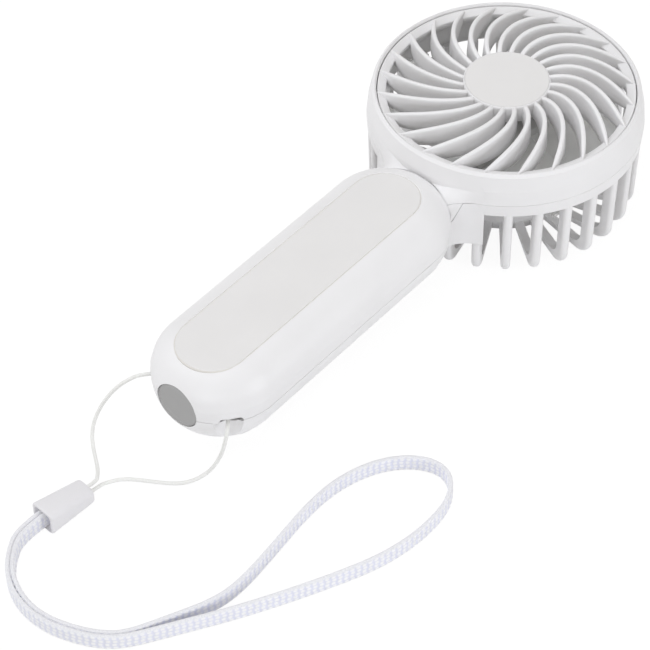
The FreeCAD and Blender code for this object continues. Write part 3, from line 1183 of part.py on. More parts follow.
# Middle line of the tape: out of the sleeve, round the loop and back beside itself.
TAPE = [
    V(-15.8, -200.3, 0), V(-16.8, -210.7, 0), V(-12.9, -217.9, 0), V(-7.8, -223.7, 0),
    V(-1.2, -227.4, 0), V(6.3, -229.1, 0), V(14.0, -228.8, 0), V(21.2, -226.7, 0),
    V(28.2, -223.5, 0), V(34.0, -218.6, 0), V(41.5, -206.7, 0), V(50.1, -193.3, 0),
    V(57.4, -180.3, 0), V(64.5, -166.4, 0), V(70.8, -152.3, 0), V(73.7, -139.3, 0),
    V(73.8, -127.1, 0), V(71.6, -119.8, 0), V(67.7, -115.2, 0), V(62.7, -113.7, 0),
    V(56.9, -115.4, 0), V(50.8, -120.4, 0), V(45.9, -128.3, 0), V(42.8, -139.4, 0),
    V(42.7, -152.3, 0), V(44.5, -167.8, 0), V(45.9, -182.9, 0), V(44.7, -193.3, 0),
    V(39.0, -205.4, 0), V(33.0, -217.7, 0), V(27.4, -222.2, 0), V(20.7, -225.3, 0),
    V(13.7, -227.3, 0), V(6.5, -227.7, 0), V(-0.5, -225.9, 0), V(-6.6, -222.0, 0),
    V(-11.3, -216.7, 0), V(-14.8, -210.2, 0), V(-13.8, -200.3, 0)]


def rounded_path(points):
    """Straight runs joined by tangent arcs; returns the edges and the arcs' radii."""
    starts, ends, arcs, radii = [points[0]], [], [], []
    for before, here, after in zip(points, points[1:], points[2:]):
        a, b = (here - before), (after - here)
        turn = a.getAngle(b)
        shorter = min(a.Length, b.Length)
        radius = 0.45 * shorter / math.tan(turn / 2)
        cut = 0.45 * shorter
        into = here - a.normalize() * cut
        out = here + b.normalize() * cut
        inward = (into - here) + (out - here)
        height = radius / math.cos(turn / 2) - radius
        ends.append(into)
        arcs.append(Part.Arc(into, here + inward.normalize() * height, out).toShape())
        starts.append(out)
        radii.append(radius)
    ends.append(points[-1])
    edges = []
    for i, (start, end) in enumerate(zip(starts, ends)):
        edges.append(Part.makeLine(start, end))
        if i < len(arcs):
            edges.append(arcs[i])
    return edges, radii


def round_cord(points, diameter, label):
    edges, radii = rounded_path(points)
    spine = Part.Wire(edges)
    tangent = edges[0].tangentAt(edges[0].FirstParameter)
    profile = Part.Wire([Part.makeCircle(diameter / 2, points[0], tangent)])
    cord = spine.makePipeShell([profile], True, False)
    length = sum(e.Length for e in edges)
    section = math.pi * diameter ** 2 / 4
    print(f"{label}: length {length:.1f} mm, volume ratio {cord.Volume / (section * length):.4f}, "
          f"least radius {min(radii):.1f} mm")
    return cord


def flat_tape(points, width, thick, low_z, label):
    """A tape that stands on its edge: each run and arc is a slab of its own, fused."""
    edges, radii = rounded_path(points)
    slabs = []
    for edge in edges:
        sides = []
        for s in (-1, 1):
            spots = []
            for t in (0.0, 0.5, 1.0):
                parameter = edge.FirstParameter + (edge.LastParameter - edge.FirstParameter) * t
                tangent = edge.tangentAt(parameter)
                spots.append(edge.valueAt(parameter) + V(-tangent.y, tangent.x, 0) * (s * thick / 2))
            sides.append(spots)
        if "Line" in str(type(edge.Curve)):
            borders = [Part.makeLine(spots[0], spots[2]) for spots in sides]
        else:
            borders = [Part.Arc(*spots).toShape() for spots in sides]
        caps = [Part.makeLine(sides[0][i], sides[1][i]) for i in (0, 2)]
        outline = Part.Wire(Part.__sortEdges__([borders[0], caps[1], borders[1], caps[0]]))
        slab = Part.Face(outline).extrude(V(0, 0, width))
        slab.translate(V(0, 0, low_z))
        slabs.append(slab)
    tape = fused(slabs)
    length = sum(e.Length for e in edges)
    print(f"{label}: length {length:.1f} mm, volume ratio {tape.Volume / (width * thick * length):.4f}, "
          f"least radius {min(radii):.1f} mm")
    return tape


def strap_string():
    return Part.makeCompound([
        round_cord(STRING_RIGHT, STRING_D, "string, right branch"),
        round_cord(STRING_LEFT, STRING_D, "string, left branch")])


def string_knots():
    knots = []
    for s in (1, -1):
        ring = Part.makeTorus(2.0, 0.72, V(s * POST_X, POST_Y, HANDLE_SPLIT_Z + 0.2), UP)
        knots.append(ring)
    return Part.makeCompound(knots)


def wrist_strap():
    return flat_tape(TAPE, TAPE_W, TAPE_THICK, TAPE_FLOOR_GAP, "tape")


def sleeve_section(x, width, high, low, radius):
    """Outline of the sleeve or of a mouth at x along it: a rectangle with round corners."""
    half = width / 2
    corners = [V(x, -half, low), V(x, half, low), V(x, half, high), V(x, -half, high)]
    section = Part.makePolygon(corners + corners[:1])
    face = Part.Face(section)
    block = face.extrude(V(1, 0, 0))
    along = [e for e in block.Edges if abs(abs(e.tangentAt(e.FirstParameter).x) - 1) < 1e-6]
    block = block.makeFillet(radius, along)
    return min(block.Faces, key=lambda f: f.CenterOfMass.x).OuterWire


def sleeve_solid(x0, x1, inset, low, radius):
    """The sleeve between x0 and x1, smaller by inset at its sides and low at its floor and roof."""
    wires = []
    for x in (x0, x1):
        part = x / SLEEVE_LONG
        width = SLEEVE_FRONT_W + (SLEEVE_REAR_W - SLEEVE_FRONT_W) * part
        high = SLEEVE_FRONT_H + (SLEEVE_REAR_H - SLEEVE_FRONT_H) * part
        wires.append(sleeve_section(x, width - 2 * inset, high - low, low, radius))
    return Part.makeLoft(wires, True, True)


def strap_sleeve():
    """The tapered box-shaped sleeve that joins string and tape."""
    block = sleeve_solid(0, SLEEVE_LONG, 0, 0, SLEEVE_EDGE_R)
    front = min(block.Faces, key=lambda f: f.CenterOfMass.x)
    block = block.makeFillet(SLEEVE_END_R, front.Edges)
    mouth_r = SLEEVE_EDGE_R - SLEEVE_WALL / 2
    for x0, x1 in ((-1, SLEEVE_MOUTH), (SLEEVE_LONG - SLEEVE_MOUTH, SLEEVE_LONG + 1)):
        block = block.cut(sleeve_solid(x0, x1, SLEEVE_WALL, SLEEVE_FLOOR, mouth_r))
    block.rotate(V(0, 0, 0), UP, SLEEVE_ANGLE)
    block.translate(V(SLEEVE_FRONT_X, SLEEVE_FRONT_Y, 0))
    return block


# ---------------------------------------------------------------- write the parts
def main():
    outside = handle_body()
    hollow = handle_body(HANDLE_WALL, FRONT_WALL)
    groove = seam_groove()
    parts = {
        "front_ring": front_ring(), "front_grille": front_grille(), "grille_disc": grille_disc(),
        "rear_cage": rear_cage(), "rear_cap": rear_cap(), "impeller": impeller(),
        "rotor_yoke": rotor_yoke(), "rotor_magnet": rotor_magnet(), "motor_shaft": motor_shaft(),
        "motor_bearings": motor_bearings(), "motor_base": motor_base(), "motor_screws": motor_screws(),
        "stator_core": stator_core(), "stator_coils": stator_coils(), "motor_board": motor_board(),
        "motor_leads": motor_leads(), "handle_wiring": handle_wiring(),
        "handle_front_shell": handle_front_shell(outside, hollow, groove),
        "handle_rear_shell": handle_rear_shell(outside, hollow, groove),
        "front_panel": front_panel(), "shell_screws": shell_screws(),
        "power_button": power_button(), "switch_plunger": switch_plunger(),
        "tact_switch": tact_switch(), "switch_board": switch_board(),
        "control_board": control_board(), "battery_cell": battery_cell(),
        "strap_posts": strap_posts(), "crank_gear": crank_gear(), "idler_gear_a": idler_gear_a(),
        "idler_gear_b": idler_gear_b(), "idler_axle_a": axle(IDLER_A), "idler_axle_b": axle(IDLER_B),
        "gearbox_plate": gearbox_plate(), "plate_screws": plate_screws(),
        "generator_pinion": generator_pinion(), "generator_shaft": generator_shaft(),
        "generator_magnet": generator_magnet(), "generator_coils": generator_coils(),
        "generator_can": generator_can(), "generator_cap": generator_cap(),
        "crank_bush": crank_bush(), "crank_shaft": crank_shaft(), "crank_screw": crank_screw(),
        "crank_arm": crank_arm(), "knob_pin": knob_pin(), "knob_stem": knob_stem(),
        "knob_grip": knob_grip(), "strap_string": strap_string(), "string_knots": string_knots(),
        "strap_sleeve": strap_sleeve(), "wrist_strap": wrist_strap()}
    os.makedirs("parts", exist_ok=True)
    for name, shape in parts.items():
        shape.exportStep(f"parts/{name}.step")
        state = "" if shape.isValid() else "  NOT VALID"
        print(f"{name}: {len(shape.Solids)} solid(s), {shape.Volume:.1f} mm3{state}")


main()
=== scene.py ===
import json
import math

import bpy
from mathutils import Matrix, Vector


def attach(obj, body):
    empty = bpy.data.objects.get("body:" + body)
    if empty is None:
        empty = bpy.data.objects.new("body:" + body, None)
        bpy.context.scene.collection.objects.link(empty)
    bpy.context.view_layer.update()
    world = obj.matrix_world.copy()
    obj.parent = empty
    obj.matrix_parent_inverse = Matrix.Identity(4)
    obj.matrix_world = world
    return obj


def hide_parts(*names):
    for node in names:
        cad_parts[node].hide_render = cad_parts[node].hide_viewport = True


# Handheld fan with a fold-away crank, dressed over its CAD frame. Lengths are written in
# millimetres and turned into metres by mm() or MM.
MM = 0.001
UP = Vector((0, 0, 1))

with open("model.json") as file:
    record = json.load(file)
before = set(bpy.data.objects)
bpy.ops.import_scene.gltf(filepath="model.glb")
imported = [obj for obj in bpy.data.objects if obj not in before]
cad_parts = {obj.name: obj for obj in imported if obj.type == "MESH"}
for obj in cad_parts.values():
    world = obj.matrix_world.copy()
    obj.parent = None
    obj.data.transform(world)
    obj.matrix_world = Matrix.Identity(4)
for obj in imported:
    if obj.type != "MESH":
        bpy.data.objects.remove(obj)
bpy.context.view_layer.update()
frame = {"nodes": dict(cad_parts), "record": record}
node = frame["nodes"]


def mm(x, y, z=0.0):
    return Vector((x * MM, y * MM, z * MM))


# ---------------------------------------------------------------- camera and light
CAMERA_PLACE = mm(335.3, -481.5, 540.6)
CAMERA_LOOK = Vector((-0.4518, 0.5253, -0.7210)).normalized()
CAMERA_ROLL = math.radians(-1.1)
CAMERA_LENS = 131.76
SENSOR_W = 36.0
CLIP_NEAR = 0.01              # metres
CLIP_FAR = 20.0

SKY_COLOUR = (1.0, 0.965, 0.91, 1)
SKY_STRENGTH = 0.46
FLOOR_HALF = 3.0              # metres
FLOOR_COLOUR = (0.86, 0.86, 0.86, 1)
FLOOR_GLOW = 1.08             # the camera sees this white glow,
FLOOR_SHADED = 0.15           # mixed with this share of the lit floor and its shadows

LAMP_AIM = mm(15, -80, 20)
LAMP_COLOUR = (0.905, 0.935, 1.0)
LAMPS = [                     # name, place, size in metres, watts
    ("overhead", mm(55, -149, 1167), 1.4, 4.55), ("key", mm(-749, -358, 833), 1.0, 3.9),
    ("low_front", mm(397, -1128, 298), 0.5, 2.2), ("low_side", mm(1114, 114, 298), 0.5, 3.3)]


def add_camera():
    level = CAMERA_LOOK.cross(UP).normalized()
    upward = level.cross(CAMERA_LOOK)
    right = level * math.cos(CAMERA_ROLL) + upward * math.sin(CAMERA_ROLL)
    top = upward * math.cos(CAMERA_ROLL) - level * math.sin(CAMERA_ROLL)
    data = bpy.data.cameras.new("camera")
    data.lens = CAMERA_LENS
    data.sensor_width = SENSOR_W
    data.clip_start = CLIP_NEAR
    data.clip_end = CLIP_FAR
    camera = bpy.data.objects.new("camera", data)
    turn = Matrix((right, top, -CAMERA_LOOK)).transposed()
    camera.matrix_world = Matrix.Translation(CAMERA_PLACE) @ turn.to_4x4()
    bpy.context.scene.collection.objects.link(camera)
    bpy.context.scene.camera = camera


def add_lamp(name, place, size, watts):
    data = bpy.data.lights.new(name, "AREA")
    data.shape = "DISK"
    data.size = size
    data.energy = watts
    data.color = LAMP_COLOUR
    lamp = bpy.data.objects.new(name, data)
    lamp.location = place
    lamp.rotation_euler = (LAMP_AIM - place).to_track_quat("-Z", "Y").to_euler()
    bpy.context.scene.collection.objects.link(lamp)


def seen_directly(tree):
    """1 for rays that show the backdrop as a background: camera, glossy and transmission rays."""
    path = tree.nodes.new("ShaderNodeLightPath")
    total = path.outputs["Is Camera Ray"]
    for kind in ("Is Glossy Ray", "Is Transmission Ray"):
        add = tree.nodes.new("ShaderNodeMath")
        add.operation = "MAXIMUM"
        tree.links.new(total, add.inputs[0])
        tree.links.new(path.outputs[kind], add.inputs[1])
        total = add.outputs[0]
    return total


def add_world():
    """Soft light from all round that shows as a white background."""
    world = bpy.data.worlds.new("studio")
    bpy.context.scene.world = world
    world.use_nodes = True
    tree = world.node_tree
    tree.nodes.clear()
    light = tree.nodes.new("ShaderNodeBackground")
    light.inputs["Color"].default_value = SKY_COLOUR
    light.inputs["Strength"].default_value = SKY_STRENGTH
    white = tree.nodes.new("ShaderNodeBackground")
    white.inputs["Color"].default_value = (1, 1, 1, 1)
    white.inputs["Strength"].default_value = 1.0
    mix = tree.nodes.new("ShaderNodeMixShader")
    out = tree.nodes.new("ShaderNodeOutputWorld")
    tree.links.new(seen_directly(tree), mix.inputs[0])
    tree.links.new(light.outputs[0], mix.inputs[1])
    tree.links.new(white.outputs[0], mix.inputs[2])
    tree.links.new(mix.outputs[0], out.inputs["Surface"])


def add_floor():
    """A pale floor that the camera sees as nearly white, with the object's shadow on it."""
    corners = [(x * FLOOR_HALF, y * FLOOR_HALF, 0) for x, y in ((-1, -1), (1, -1), (1, 1), (-1, 1))]
    mesh = bpy.data.meshes.new("floor")
    mesh.from_pydata(corners, [], [(0, 1, 2, 3)])
    floor = bpy.data.objects.new("floor", mesh)
    bpy.context.scene.collection.objects.link(floor)
    mat = bpy.data.materials.new("floor_paper")
    mat.use_nodes = True
    tree = mat.node_tree
    tree.nodes.clear()
    paper = tree.nodes.new("ShaderNodeBsdfDiffuse")
    paper.inputs["Color"].default_value = FLOOR_COLOUR
    glow = tree.nodes.new("ShaderNodeEmission")
    glow.inputs["Strength"].default_value = FLOOR_GLOW
    seen = tree.nodes.new("ShaderNodeMixShader")
    seen.inputs[0].default_value = FLOOR_SHADED
    pick = tree.nodes.new("ShaderNodeMixShader")
    out = tree.nodes.new("ShaderNodeOutputMaterial")
    tree.links.new(glow.outputs[0], seen.inputs[1])
    tree.links.new(paper.outputs[0], seen.inputs[2])
    tree.links.new(seen_directly(tree), pick.inputs[0])
    tree.links.new(paper.outputs[0], pick.inputs[1])
    tree.links.new(seen.outputs[0], pick.inputs[2])
    tree.links.new(pick.outputs[0], out.inputs["Surface"])
    mesh.materials.append(mat)


# ---------------------------------------------------------------- materials
class Look:
    """A Principled material with small helpers for its procedural detail."""

    def __init__(self, name, colour, roughness, **values):
        self.material = bpy.data.materials.new(name)
        self.material.use_nodes = True
        self.tree = self.material.node_tree
        self.shader = self.tree.nodes["Principled BSDF"]
        self.colour = colour
        self.shader.inputs["Base Color"].default_value = (*colour, 1)
        self.shader.inputs["Roughness"].default_value = roughness
        for key, value in values.items():
            self.shader.inputs[key.replace("_", " ")].default_value = value
        self.place = self.tree.nodes.new("ShaderNodeTexCoord")
        self.height = None

    def add(self, kind, **inputs):
        made = self.tree.nodes.new(kind)
        for key, value in inputs.items():
            made.inputs[key].default_value = value
        return made

    def link(self, start, end):
        self.tree.links.new(start, end)

    def noise(self, size, detail=2.0, stretch=(1, 1, 1)):
        """Noise whose features are about size millimetres across."""
        mapping = self.add("ShaderNodeMapping")
        mapping.inputs["Scale"].default_value = stretch
        self.link(self.place.outputs["Object"], mapping.inputs["Vector"])
        made = self.add("ShaderNodeTexNoise", Scale=1.0 / (size * MM), Detail=detail)
        self.link(mapping.outputs[0], made.inputs["Vector"])
        return made.outputs["Fac"]

    def ramp(self, source, low, high, start=0.3, end=0.7):
        """Maps a 0 to 1 value to numbers from low to high."""
        made = self.add("ShaderNodeMapRange")
        for key, value in (("From Min", start), ("From Max", end), ("To Min", low), ("To Max", high)):
            made.inputs[key].default_value = value
        self.link(source, made.inputs["Value"])
        return made.outputs[0]

    def tint(self, source, darker, start=0.3, end=0.7):
        """Varies the base colour between itself and darker times itself."""
        mix = self.add("ShaderNodeMix")
        mix.data_type = "RGBA"
        mix.inputs["A"].default_value = (*[c * darker for c in self.colour], 1)
        mix.inputs["B"].default_value = (*self.colour, 1)
        self.link(self.ramp(source, 0, 1, start, end), mix.inputs["Factor"])
        self.link(mix.outputs["Result"], self.shader.inputs["Base Color"])
        return self

    def rough(self, source, low, high):
        self.link(self.ramp(source, low, high), self.shader.inputs["Roughness"])
        return self

    def bump(self, source, depth):
        """Adds relief: depth is in millimetres."""
        made = self.add("ShaderNodeBump", Strength=1.0, Distance=depth * MM)
        self.link(source, made.inputs["Height"])
        if self.height is not None:
            self.link(self.height, made.inputs["Normal"])
        self.height = made.outputs["Normal"]
        self.link(self.height, self.shader.inputs["Normal"])
        return self


def moulded(name, colour, roughness, grain=0.35, depth=0.004, **values):
    """Moulded plastic: fine spark-eroded grain, faint clouding and uneven gloss."""
    look = Look(name, colour, roughness, **values)
    look.tint(look.noise(14.0, 3.0), 0.975)
    look.rough(look.noise(2.2, 4.0), roughness - 0.05, roughness + 0.06)
    look.bump(look.noise(grain, 2.0), depth)
    return look


def turned_steel(name, colour, roughness, stretch=(1, 1, 1)):
    """Bright metal with fine tool marks and slight stains."""
    look = Look(name, colour, roughness, Metallic=1.0)
    look.tint(look.noise(3.0, 3.0), 0.86)
    look.rough(look.noise(0.5, 3.0, stretch), roughness - 0.08, roughness + 0.12)
    look.bump(look.noise(0.12, 2.0, stretch), 0.004)
    return look


def make_looks():
    looks = {}
    looks["white_shell"] = moulded("white_shell", (0.868, 0.862, 0.864), 0.42)
    looks["white_grille"] = moulded("white_grille", (0.868, 0.862, 0.864), 0.40)
    looks["sleeve_white"] = moulded("sleeve_white", (0.805, 0.795, 0.81), 0.40, 0.25, 0.003)
    looks["grey_inlay"] = moulded("grey_inlay", (0.818, 0.808, 0.797), 0.62, 0.22, 0.006)
    # painted shade: the gap fill round the inlay is darker and warmer than the shell, standing for the
    # soft shade line of the groove
    looks["inlay_gap_shade"] = moulded("inlay_gap_shade", (0.76, 0.735, 0.69), 0.7, 0.4, 0.01)
    looks["grey_button"] = moulded("grey_button", (0.385, 0.383, 0.378), 0.55, 0.30, 0.008)
    looks["clear_blade"] = clear_plastic()
    looks["steel"] = turned_steel("steel", (0.62, 0.62, 0.63), 0.26, (1, 1, 6))
    looks["steel_zinc"] = turned_steel("steel_zinc", (0.66, 0.67, 0.68), 0.34)
    looks["lamination"] = turned_steel("lamination", (0.30, 0.29, 0.28), 0.45, (0.2, 0.2, 12))
    looks["iron"] = moulded("ferrite", (0.055, 0.055, 0.06), 0.6, 0.4, 0.02)
    looks["copper"] = copper_winding()
    looks["bronze"] = turned_steel("bronze", (0.55, 0.36, 0.16), 0.40)
    looks["board"] = circuit_board()
    looks["black_part"] = moulded("black_part", (0.022, 0.022, 0.024), 0.45, 0.3, 0.01)
    looks["wire"] = moulded("wire_skin", (0.42, 0.035, 0.03), 0.38, 0.6, 0.004)
    looks["battery"] = pouch_foil()
    looks["gear_white"] = moulded("acetal", (0.74, 0.72, 0.66), 0.33, 0.5, 0.003)
    looks["strap_cloth"] = string_cloth()
    return looks


def clear_plastic():
    """Clear plastic with a cool tint and faint flow lines."""
    look = Look("clear_blade", (0.955, 0.955, 0.935), 0.12, Alpha=0.6)
    look.tint(look.noise(9.0, 2.0), 0.93)
    look.rough(look.noise(5.0, 3.0), 0.10, 0.2)
    look.bump(look.noise(2.5, 2.0, (1, 1, 3)), 0.02)
    return look


def copper_winding():
    """Enamelled wire laid in close turns."""
    look = Look("copper_winding", (0.72, 0.30, 0.14), 0.4, Metallic=0.6)
    wave = look.add("ShaderNodeTexWave", Scale=1.0 / (0.9 * MM), Distortion=0.6)
    wave.bands_direction = "Z"
    look.link(look.place.outputs["Object"], wave.inputs["Vector"])
    look.tint(wave.outputs["Fac"], 0.55, 0.1, 0.6)
    look.bump(wave.outputs["Fac"], 0.08)
    return look


def circuit_board():
    """Green solder mask over faint copper areas."""
    look = Look("circuit_board", (0.035, 0.20, 0.07), 0.35)
    areas = look.add("ShaderNodeTexVoronoi", Scale=1.0 / (2.6 * MM))
    areas.distance = "CHEBYCHEV"
    look.link(look.place.outputs["Object"], areas.inputs["Vector"])
    look.tint(areas.outputs["Distance"], 0.6, 0.25, 0.32)
    look.bump(areas.outputs["Distance"], 0.03)
    return look


def pouch_foil():
    """Aluminium-laminate pouch with soft dents."""
    look = Look("pouch_foil", (0.60, 0.61, 0.63), 0.34, Metallic=0.75)
    look.tint(look.noise(6.0, 3.0), 0.9)
    look.rough(look.noise(1.5, 3.0), 0.28, 0.44)
    look.bump(look.noise(5.0, 2.0), 0.15)
    return look


def string_cloth():
    """Fine braided string: small uneven strands in its colour and relief."""
    look = Look("string_cloth", (0.90, 0.90, 0.87), 0.8, Sheen_Weight=0.3)
    look.tint(look.noise(0.35, 2.0), 0.93)
    look.bump(look.noise(0.3, 2.0, (1.0, 1.0, 1.6)), 0.03)
    return look


def tape_weave():
    """Woven tape: white cells in columns with painted shade, a cool lavender, between them, and greyer
    edges.

    The tape's UVs are millimetres: U along it and V across, from its middle."""
    look = Look("tape_weave", (0.86, 0.87, 0.91), 0.75, Sheen_Weight=0.3, Subsurface_Weight=0.6,
                Subsurface_Radius=(1.0, 1.0, 1.0), Subsurface_Scale=1.2 * MM)
    split = look.add("ShaderNodeSeparateXYZ")
    look.link(look.place.outputs["UV"], split.inputs[0])

    def maths(kind, first, second=0.0):
        made = look.add("ShaderNodeMath")
        made.operation = kind
        for slot, value in zip(made.inputs, (first, second)):
            if isinstance(value, float):
                slot.default_value = value
            else:
                look.link(value, slot)
        return made.outputs[0]

    def blend(factor, first, second):
        mix = look.add("ShaderNodeMix")
        mix.data_type = "RGBA"
        for key, value in (("A", first), ("B", second)):
            if isinstance(value, tuple):
                mix.inputs[key].default_value = value
            else:
                look.link(value, mix.inputs[key])
        look.link(factor, mix.inputs["Factor"])
        return mix.outputs["Result"]

    row = maths("DIVIDE", maths("ADD", split.outputs["Y"], TAPE_W / 2), TAPE_CELL_HIGH)
    across = maths("SINE", maths("MULTIPLY", maths("FRACT", row), math.pi))
    shift = maths("MULTIPLY", maths("MODULO", maths("FLOOR", row), 2.0), 2 * math.pi * TAPE_ROW_SHIFT)
    phase = maths("ADD", maths("MULTIPLY", split.outputs["X"], 2 * math.pi / TAPE_CELL_LONG), shift)
    plump = maths("MULTIPLY", maths("ADD", maths("COSINE", phase), 1.0), 0.5)
    cell = maths("MULTIPLY", maths("POWER", across, TAPE_SHADE_ACROSS), plump)
    # painted shade: the cool lavender between the white cells stands for the shadow between the plump
    # yarns
    cells_and_painted_shade = blend(look.ramp(cell, 0, 1, 0.05, 0.6), (0.78, 0.79, 0.89, 1), (0.95, 0.95, 0.97, 1))
    # the tape's colour turns greyer towards both its edges, the top edge included
    edge = look.ramp(maths("ABSOLUTE", split.outputs["Y"]), 0, 1,
                     TAPE_W / 2 - EDGE_GREY_START, TAPE_W / 2 - EDGE_GREY_FULL)
    plain = look.ramp(look.noise(0.5, 2.0), 0, 1)
    edge_grey = blend(plain, (0.76, 0.76, 0.79, 1), (0.86, 0.86, 0.88, 1))
    look.link(blend(edge, cells_and_painted_shade, edge_grey), look.shader.inputs["Base Color"])
    look.bump(look.noise(0.16, 2.0, (1.0, 1.0, 0.5)), 0.03)
    return look


def paint(piece, look):
    """Gives a piece this look alone."""
    piece.data.materials.clear()
    piece.data.materials.append(look.material)


def dress_cad_nodes(looks):
    """Every CAD node takes the material of its slot in the record."""
    for part in frame["record"]["subparts"]:
        piece = node[part["node"]]
        paint(piece, looks[part["material_slot"]])


# ---------------------------------------------------------------- meshes
def tube_mesh(name, rows, closed_ends=True, uvs=None):
    """A mesh over rows of equally many points. Each row is a closed loop; uvs go loop by loop."""
    count = len(rows[0])
    vertices = [v for row in rows for v in row]
    faces = []
    for i in range(len(rows) - 1):
        for k in range(count):
            j = (k + 1) % count
            faces.append((i * count + k, i * count + j, (i + 1) * count + j, (i + 1) * count + k))
    if closed_ends:
        faces.append(tuple(reversed(range(count))))
        faces.append(tuple((len(rows) - 1) * count + k for k in range(count)))
    mesh = bpy.data.meshes.new(name)
    mesh.from_pydata(vertices, [], faces)
    if uvs:
        layer = mesh.uv_layers.new(name="UVMap")
        for loop, uv in zip(layer.data, uvs):
            loop.uv = uv
    mesh.polygons.foreach_set("use_smooth", [True] * len(mesh.polygons))
    mesh.update()
    return mesh


def link_piece(name, mesh):
    piece = bpy.data.objects.new(name, mesh)
    bpy.context.scene.collection.objects.link(piece)
    return piece


# ---------------------------------------------------------------- bead round the inlay, painted with the groove's shade
PANEL_HALF_W = 11.2           # the inlay's outline is a long round-ended shape
PANEL_NEAR_Y = -62.4
PANEL_FAR_Y = -141.7
PANEL_TOP_Z = 38.55
PANEL_END_STEPS = 48
BEAD_IN = -0.35               # offsets of the bead's sides from the inlay's outline
BEAD_OUT = 0.30
BEAD_DROP = 0.24              # from the inlay's top down to the bead's middle
BEAD_SHOULDER = 0.05          # from there down to its upper edges
BEAD_DEEP = 0.9


def inlay_outline(offset, z):
    """The inlay's outline, round at both ends, moved outward by offset."""
    radius = PANEL_HALF_W + offset
    points = []
    for centre, start in ((PANEL_NEAR_Y, 0), (PANEL_FAR_Y, 180)):
        for i in range(PANEL_END_STEPS + 1):
            angle = math.radians(start + 180.0 * i / PANEL_END_STEPS)
            points.append(mm(radius * math.cos(angle), centre + radius * math.sin(angle), z))
    return points


def add_bead(looks):
    """The pale fill in the gap between inlay and shell; its colour, darker and warmer than the shell,
    is painted shade for the groove's soft line.
    """
    low, high = PANEL_TOP_Z - BEAD_DEEP, PANEL_TOP_Z - BEAD_DROP
    shoulder = high - BEAD_SHOULDER
    middle = (BEAD_IN + BEAD_OUT) / 2
    line = [(BEAD_IN, low), (BEAD_IN, shoulder), (middle, high), (BEAD_OUT, shoulder), (BEAD_OUT, low)]
    rings = [inlay_outline(offset, z) for offset, z in line]
    rows = [list(row) for row in zip(*rings)]
    bead = link_piece("inlay_gap_shade", tube_mesh("inlay_gap_shade", rows + rows[:1], closed_ends=False))
    paint(bead, looks["inlay_gap_shade"])
    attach(bead, "body")


# ---------------------------------------------------------------- front grille
# Along a rib, u runs from 0 at the flange to 1 at the boss.
RIB_COUNT = 24
RIB_OUT_R = 41.0
RIB_IN_R = 13.6
RIB_SWEEP = 34.75             # degrees from flange to boss
RIB_BOW = 0.246               # two bends of the sweep, as shares of it
RIB_S_BEND = 0.33
RIB_TIP_ANGLE = -2.93         # degrees, where the first rib meets the flange
RIB_TIP_U = -0.022            # the tips run a little past RIB_OUT_R
RIB_HALF = 0.75               # half a rib's width
RIB_TIP_SHARE = 0.5           # the share of it at u = 0,
RIB_WIDEN = 3.6               # and how fast that share grows with u
RIB_FLARE = 0.42              # how much wider each side of a rib is at its foot
RIB_FLARE_WIDEN = 3.0
RIB_CREST_RISE = 3.2          # of the crest, from the flange's outer edge to the boss
RIB_CREST_BOW = 10.8          # at midway it stands a quarter of this above a straight line
RIB_FOOT_IN_Z = 39.75         # the foot's height at the boss, at a middle radius and at the flange
RIB_FOOT_MID_R = 26.0
RIB_FOOT_MID_Z = 38.1
RIB_FOOT_OUT_R = 39.0
RIB_FOOT_OUT_Z = 38.3
RIB_FOOT_BEVEL = 0.15
RIB_LEVELS = (0.35, 0.7, 0.9)         # points on a rib's side, from its foot to its crest
RIB_STEPS = 40
RIB_CROWD = 1.4               # above 1, the steps are shorter near the tip
CREST_STEPS = 8
FLANGE_OUTER_Z = 41.8
# Cross-sections of flange and boss, as (radius, height) from the inside round the top.
FLANGE_LINE = [
    (38.7, 38.3), (38.7, 40.32), (38.74, 40.5), (38.86, 40.64), (39.04, 40.74), (40.05, 41.18),
    (41.1, 41.66), (41.3, 41.72), (41.45, 41.66), (41.53, 41.5), (41.55, 41.3), (41.55, 38.3)]
BOSS_LINE = [
    (12.6, 39.2), (14.0, 39.2), (14.1, 39.35), (14.1, 44.1), (14.08, 44.45), (13.98, 44.76),
    (13.82, 45.0), (13.68, 45.1), (13.56, 45.12), (13.52, 45.04), (13.52, 44.25), (0.0, 44.25),
    (0.0, 42.85), (12.6, 42.85)]


def rib_angle(u):
    bend = RIB_BOW * u * (1 - u) - RIB_S_BEND * u * (1 - u) * (1 - 2 * u)
    return math.radians(RIB_SWEEP * (u + bend))


def rib_spot(u, turn):
    """A rib's centreline in millimetres, and its radius there."""
    radius = RIB_OUT_R + (RIB_IN_R - RIB_OUT_R) * u
    angle = rib_angle(u) + turn
    return Vector((radius * math.cos(angle), radius * math.sin(angle), 0)), radius


def rib_foot(radius):
    """Height of a rib's underside: down from the boss, then nearly level to the flange."""
    if radius < RIB_FOOT_MID_R:
        part = (radius - RIB_IN_R) / (RIB_FOOT_MID_R - RIB_IN_R)
        return RIB_FOOT_IN_Z + (RIB_FOOT_MID_Z - RIB_FOOT_IN_Z) * part
    part = (radius - RIB_FOOT_MID_R) / (RIB_FOOT_OUT_R - RIB_FOOT_MID_R)
    return min(RIB_FOOT_OUT_Z, RIB_FOOT_MID_Z + (RIB_FOOT_OUT_Z - RIB_FOOT_MID_Z) * part)


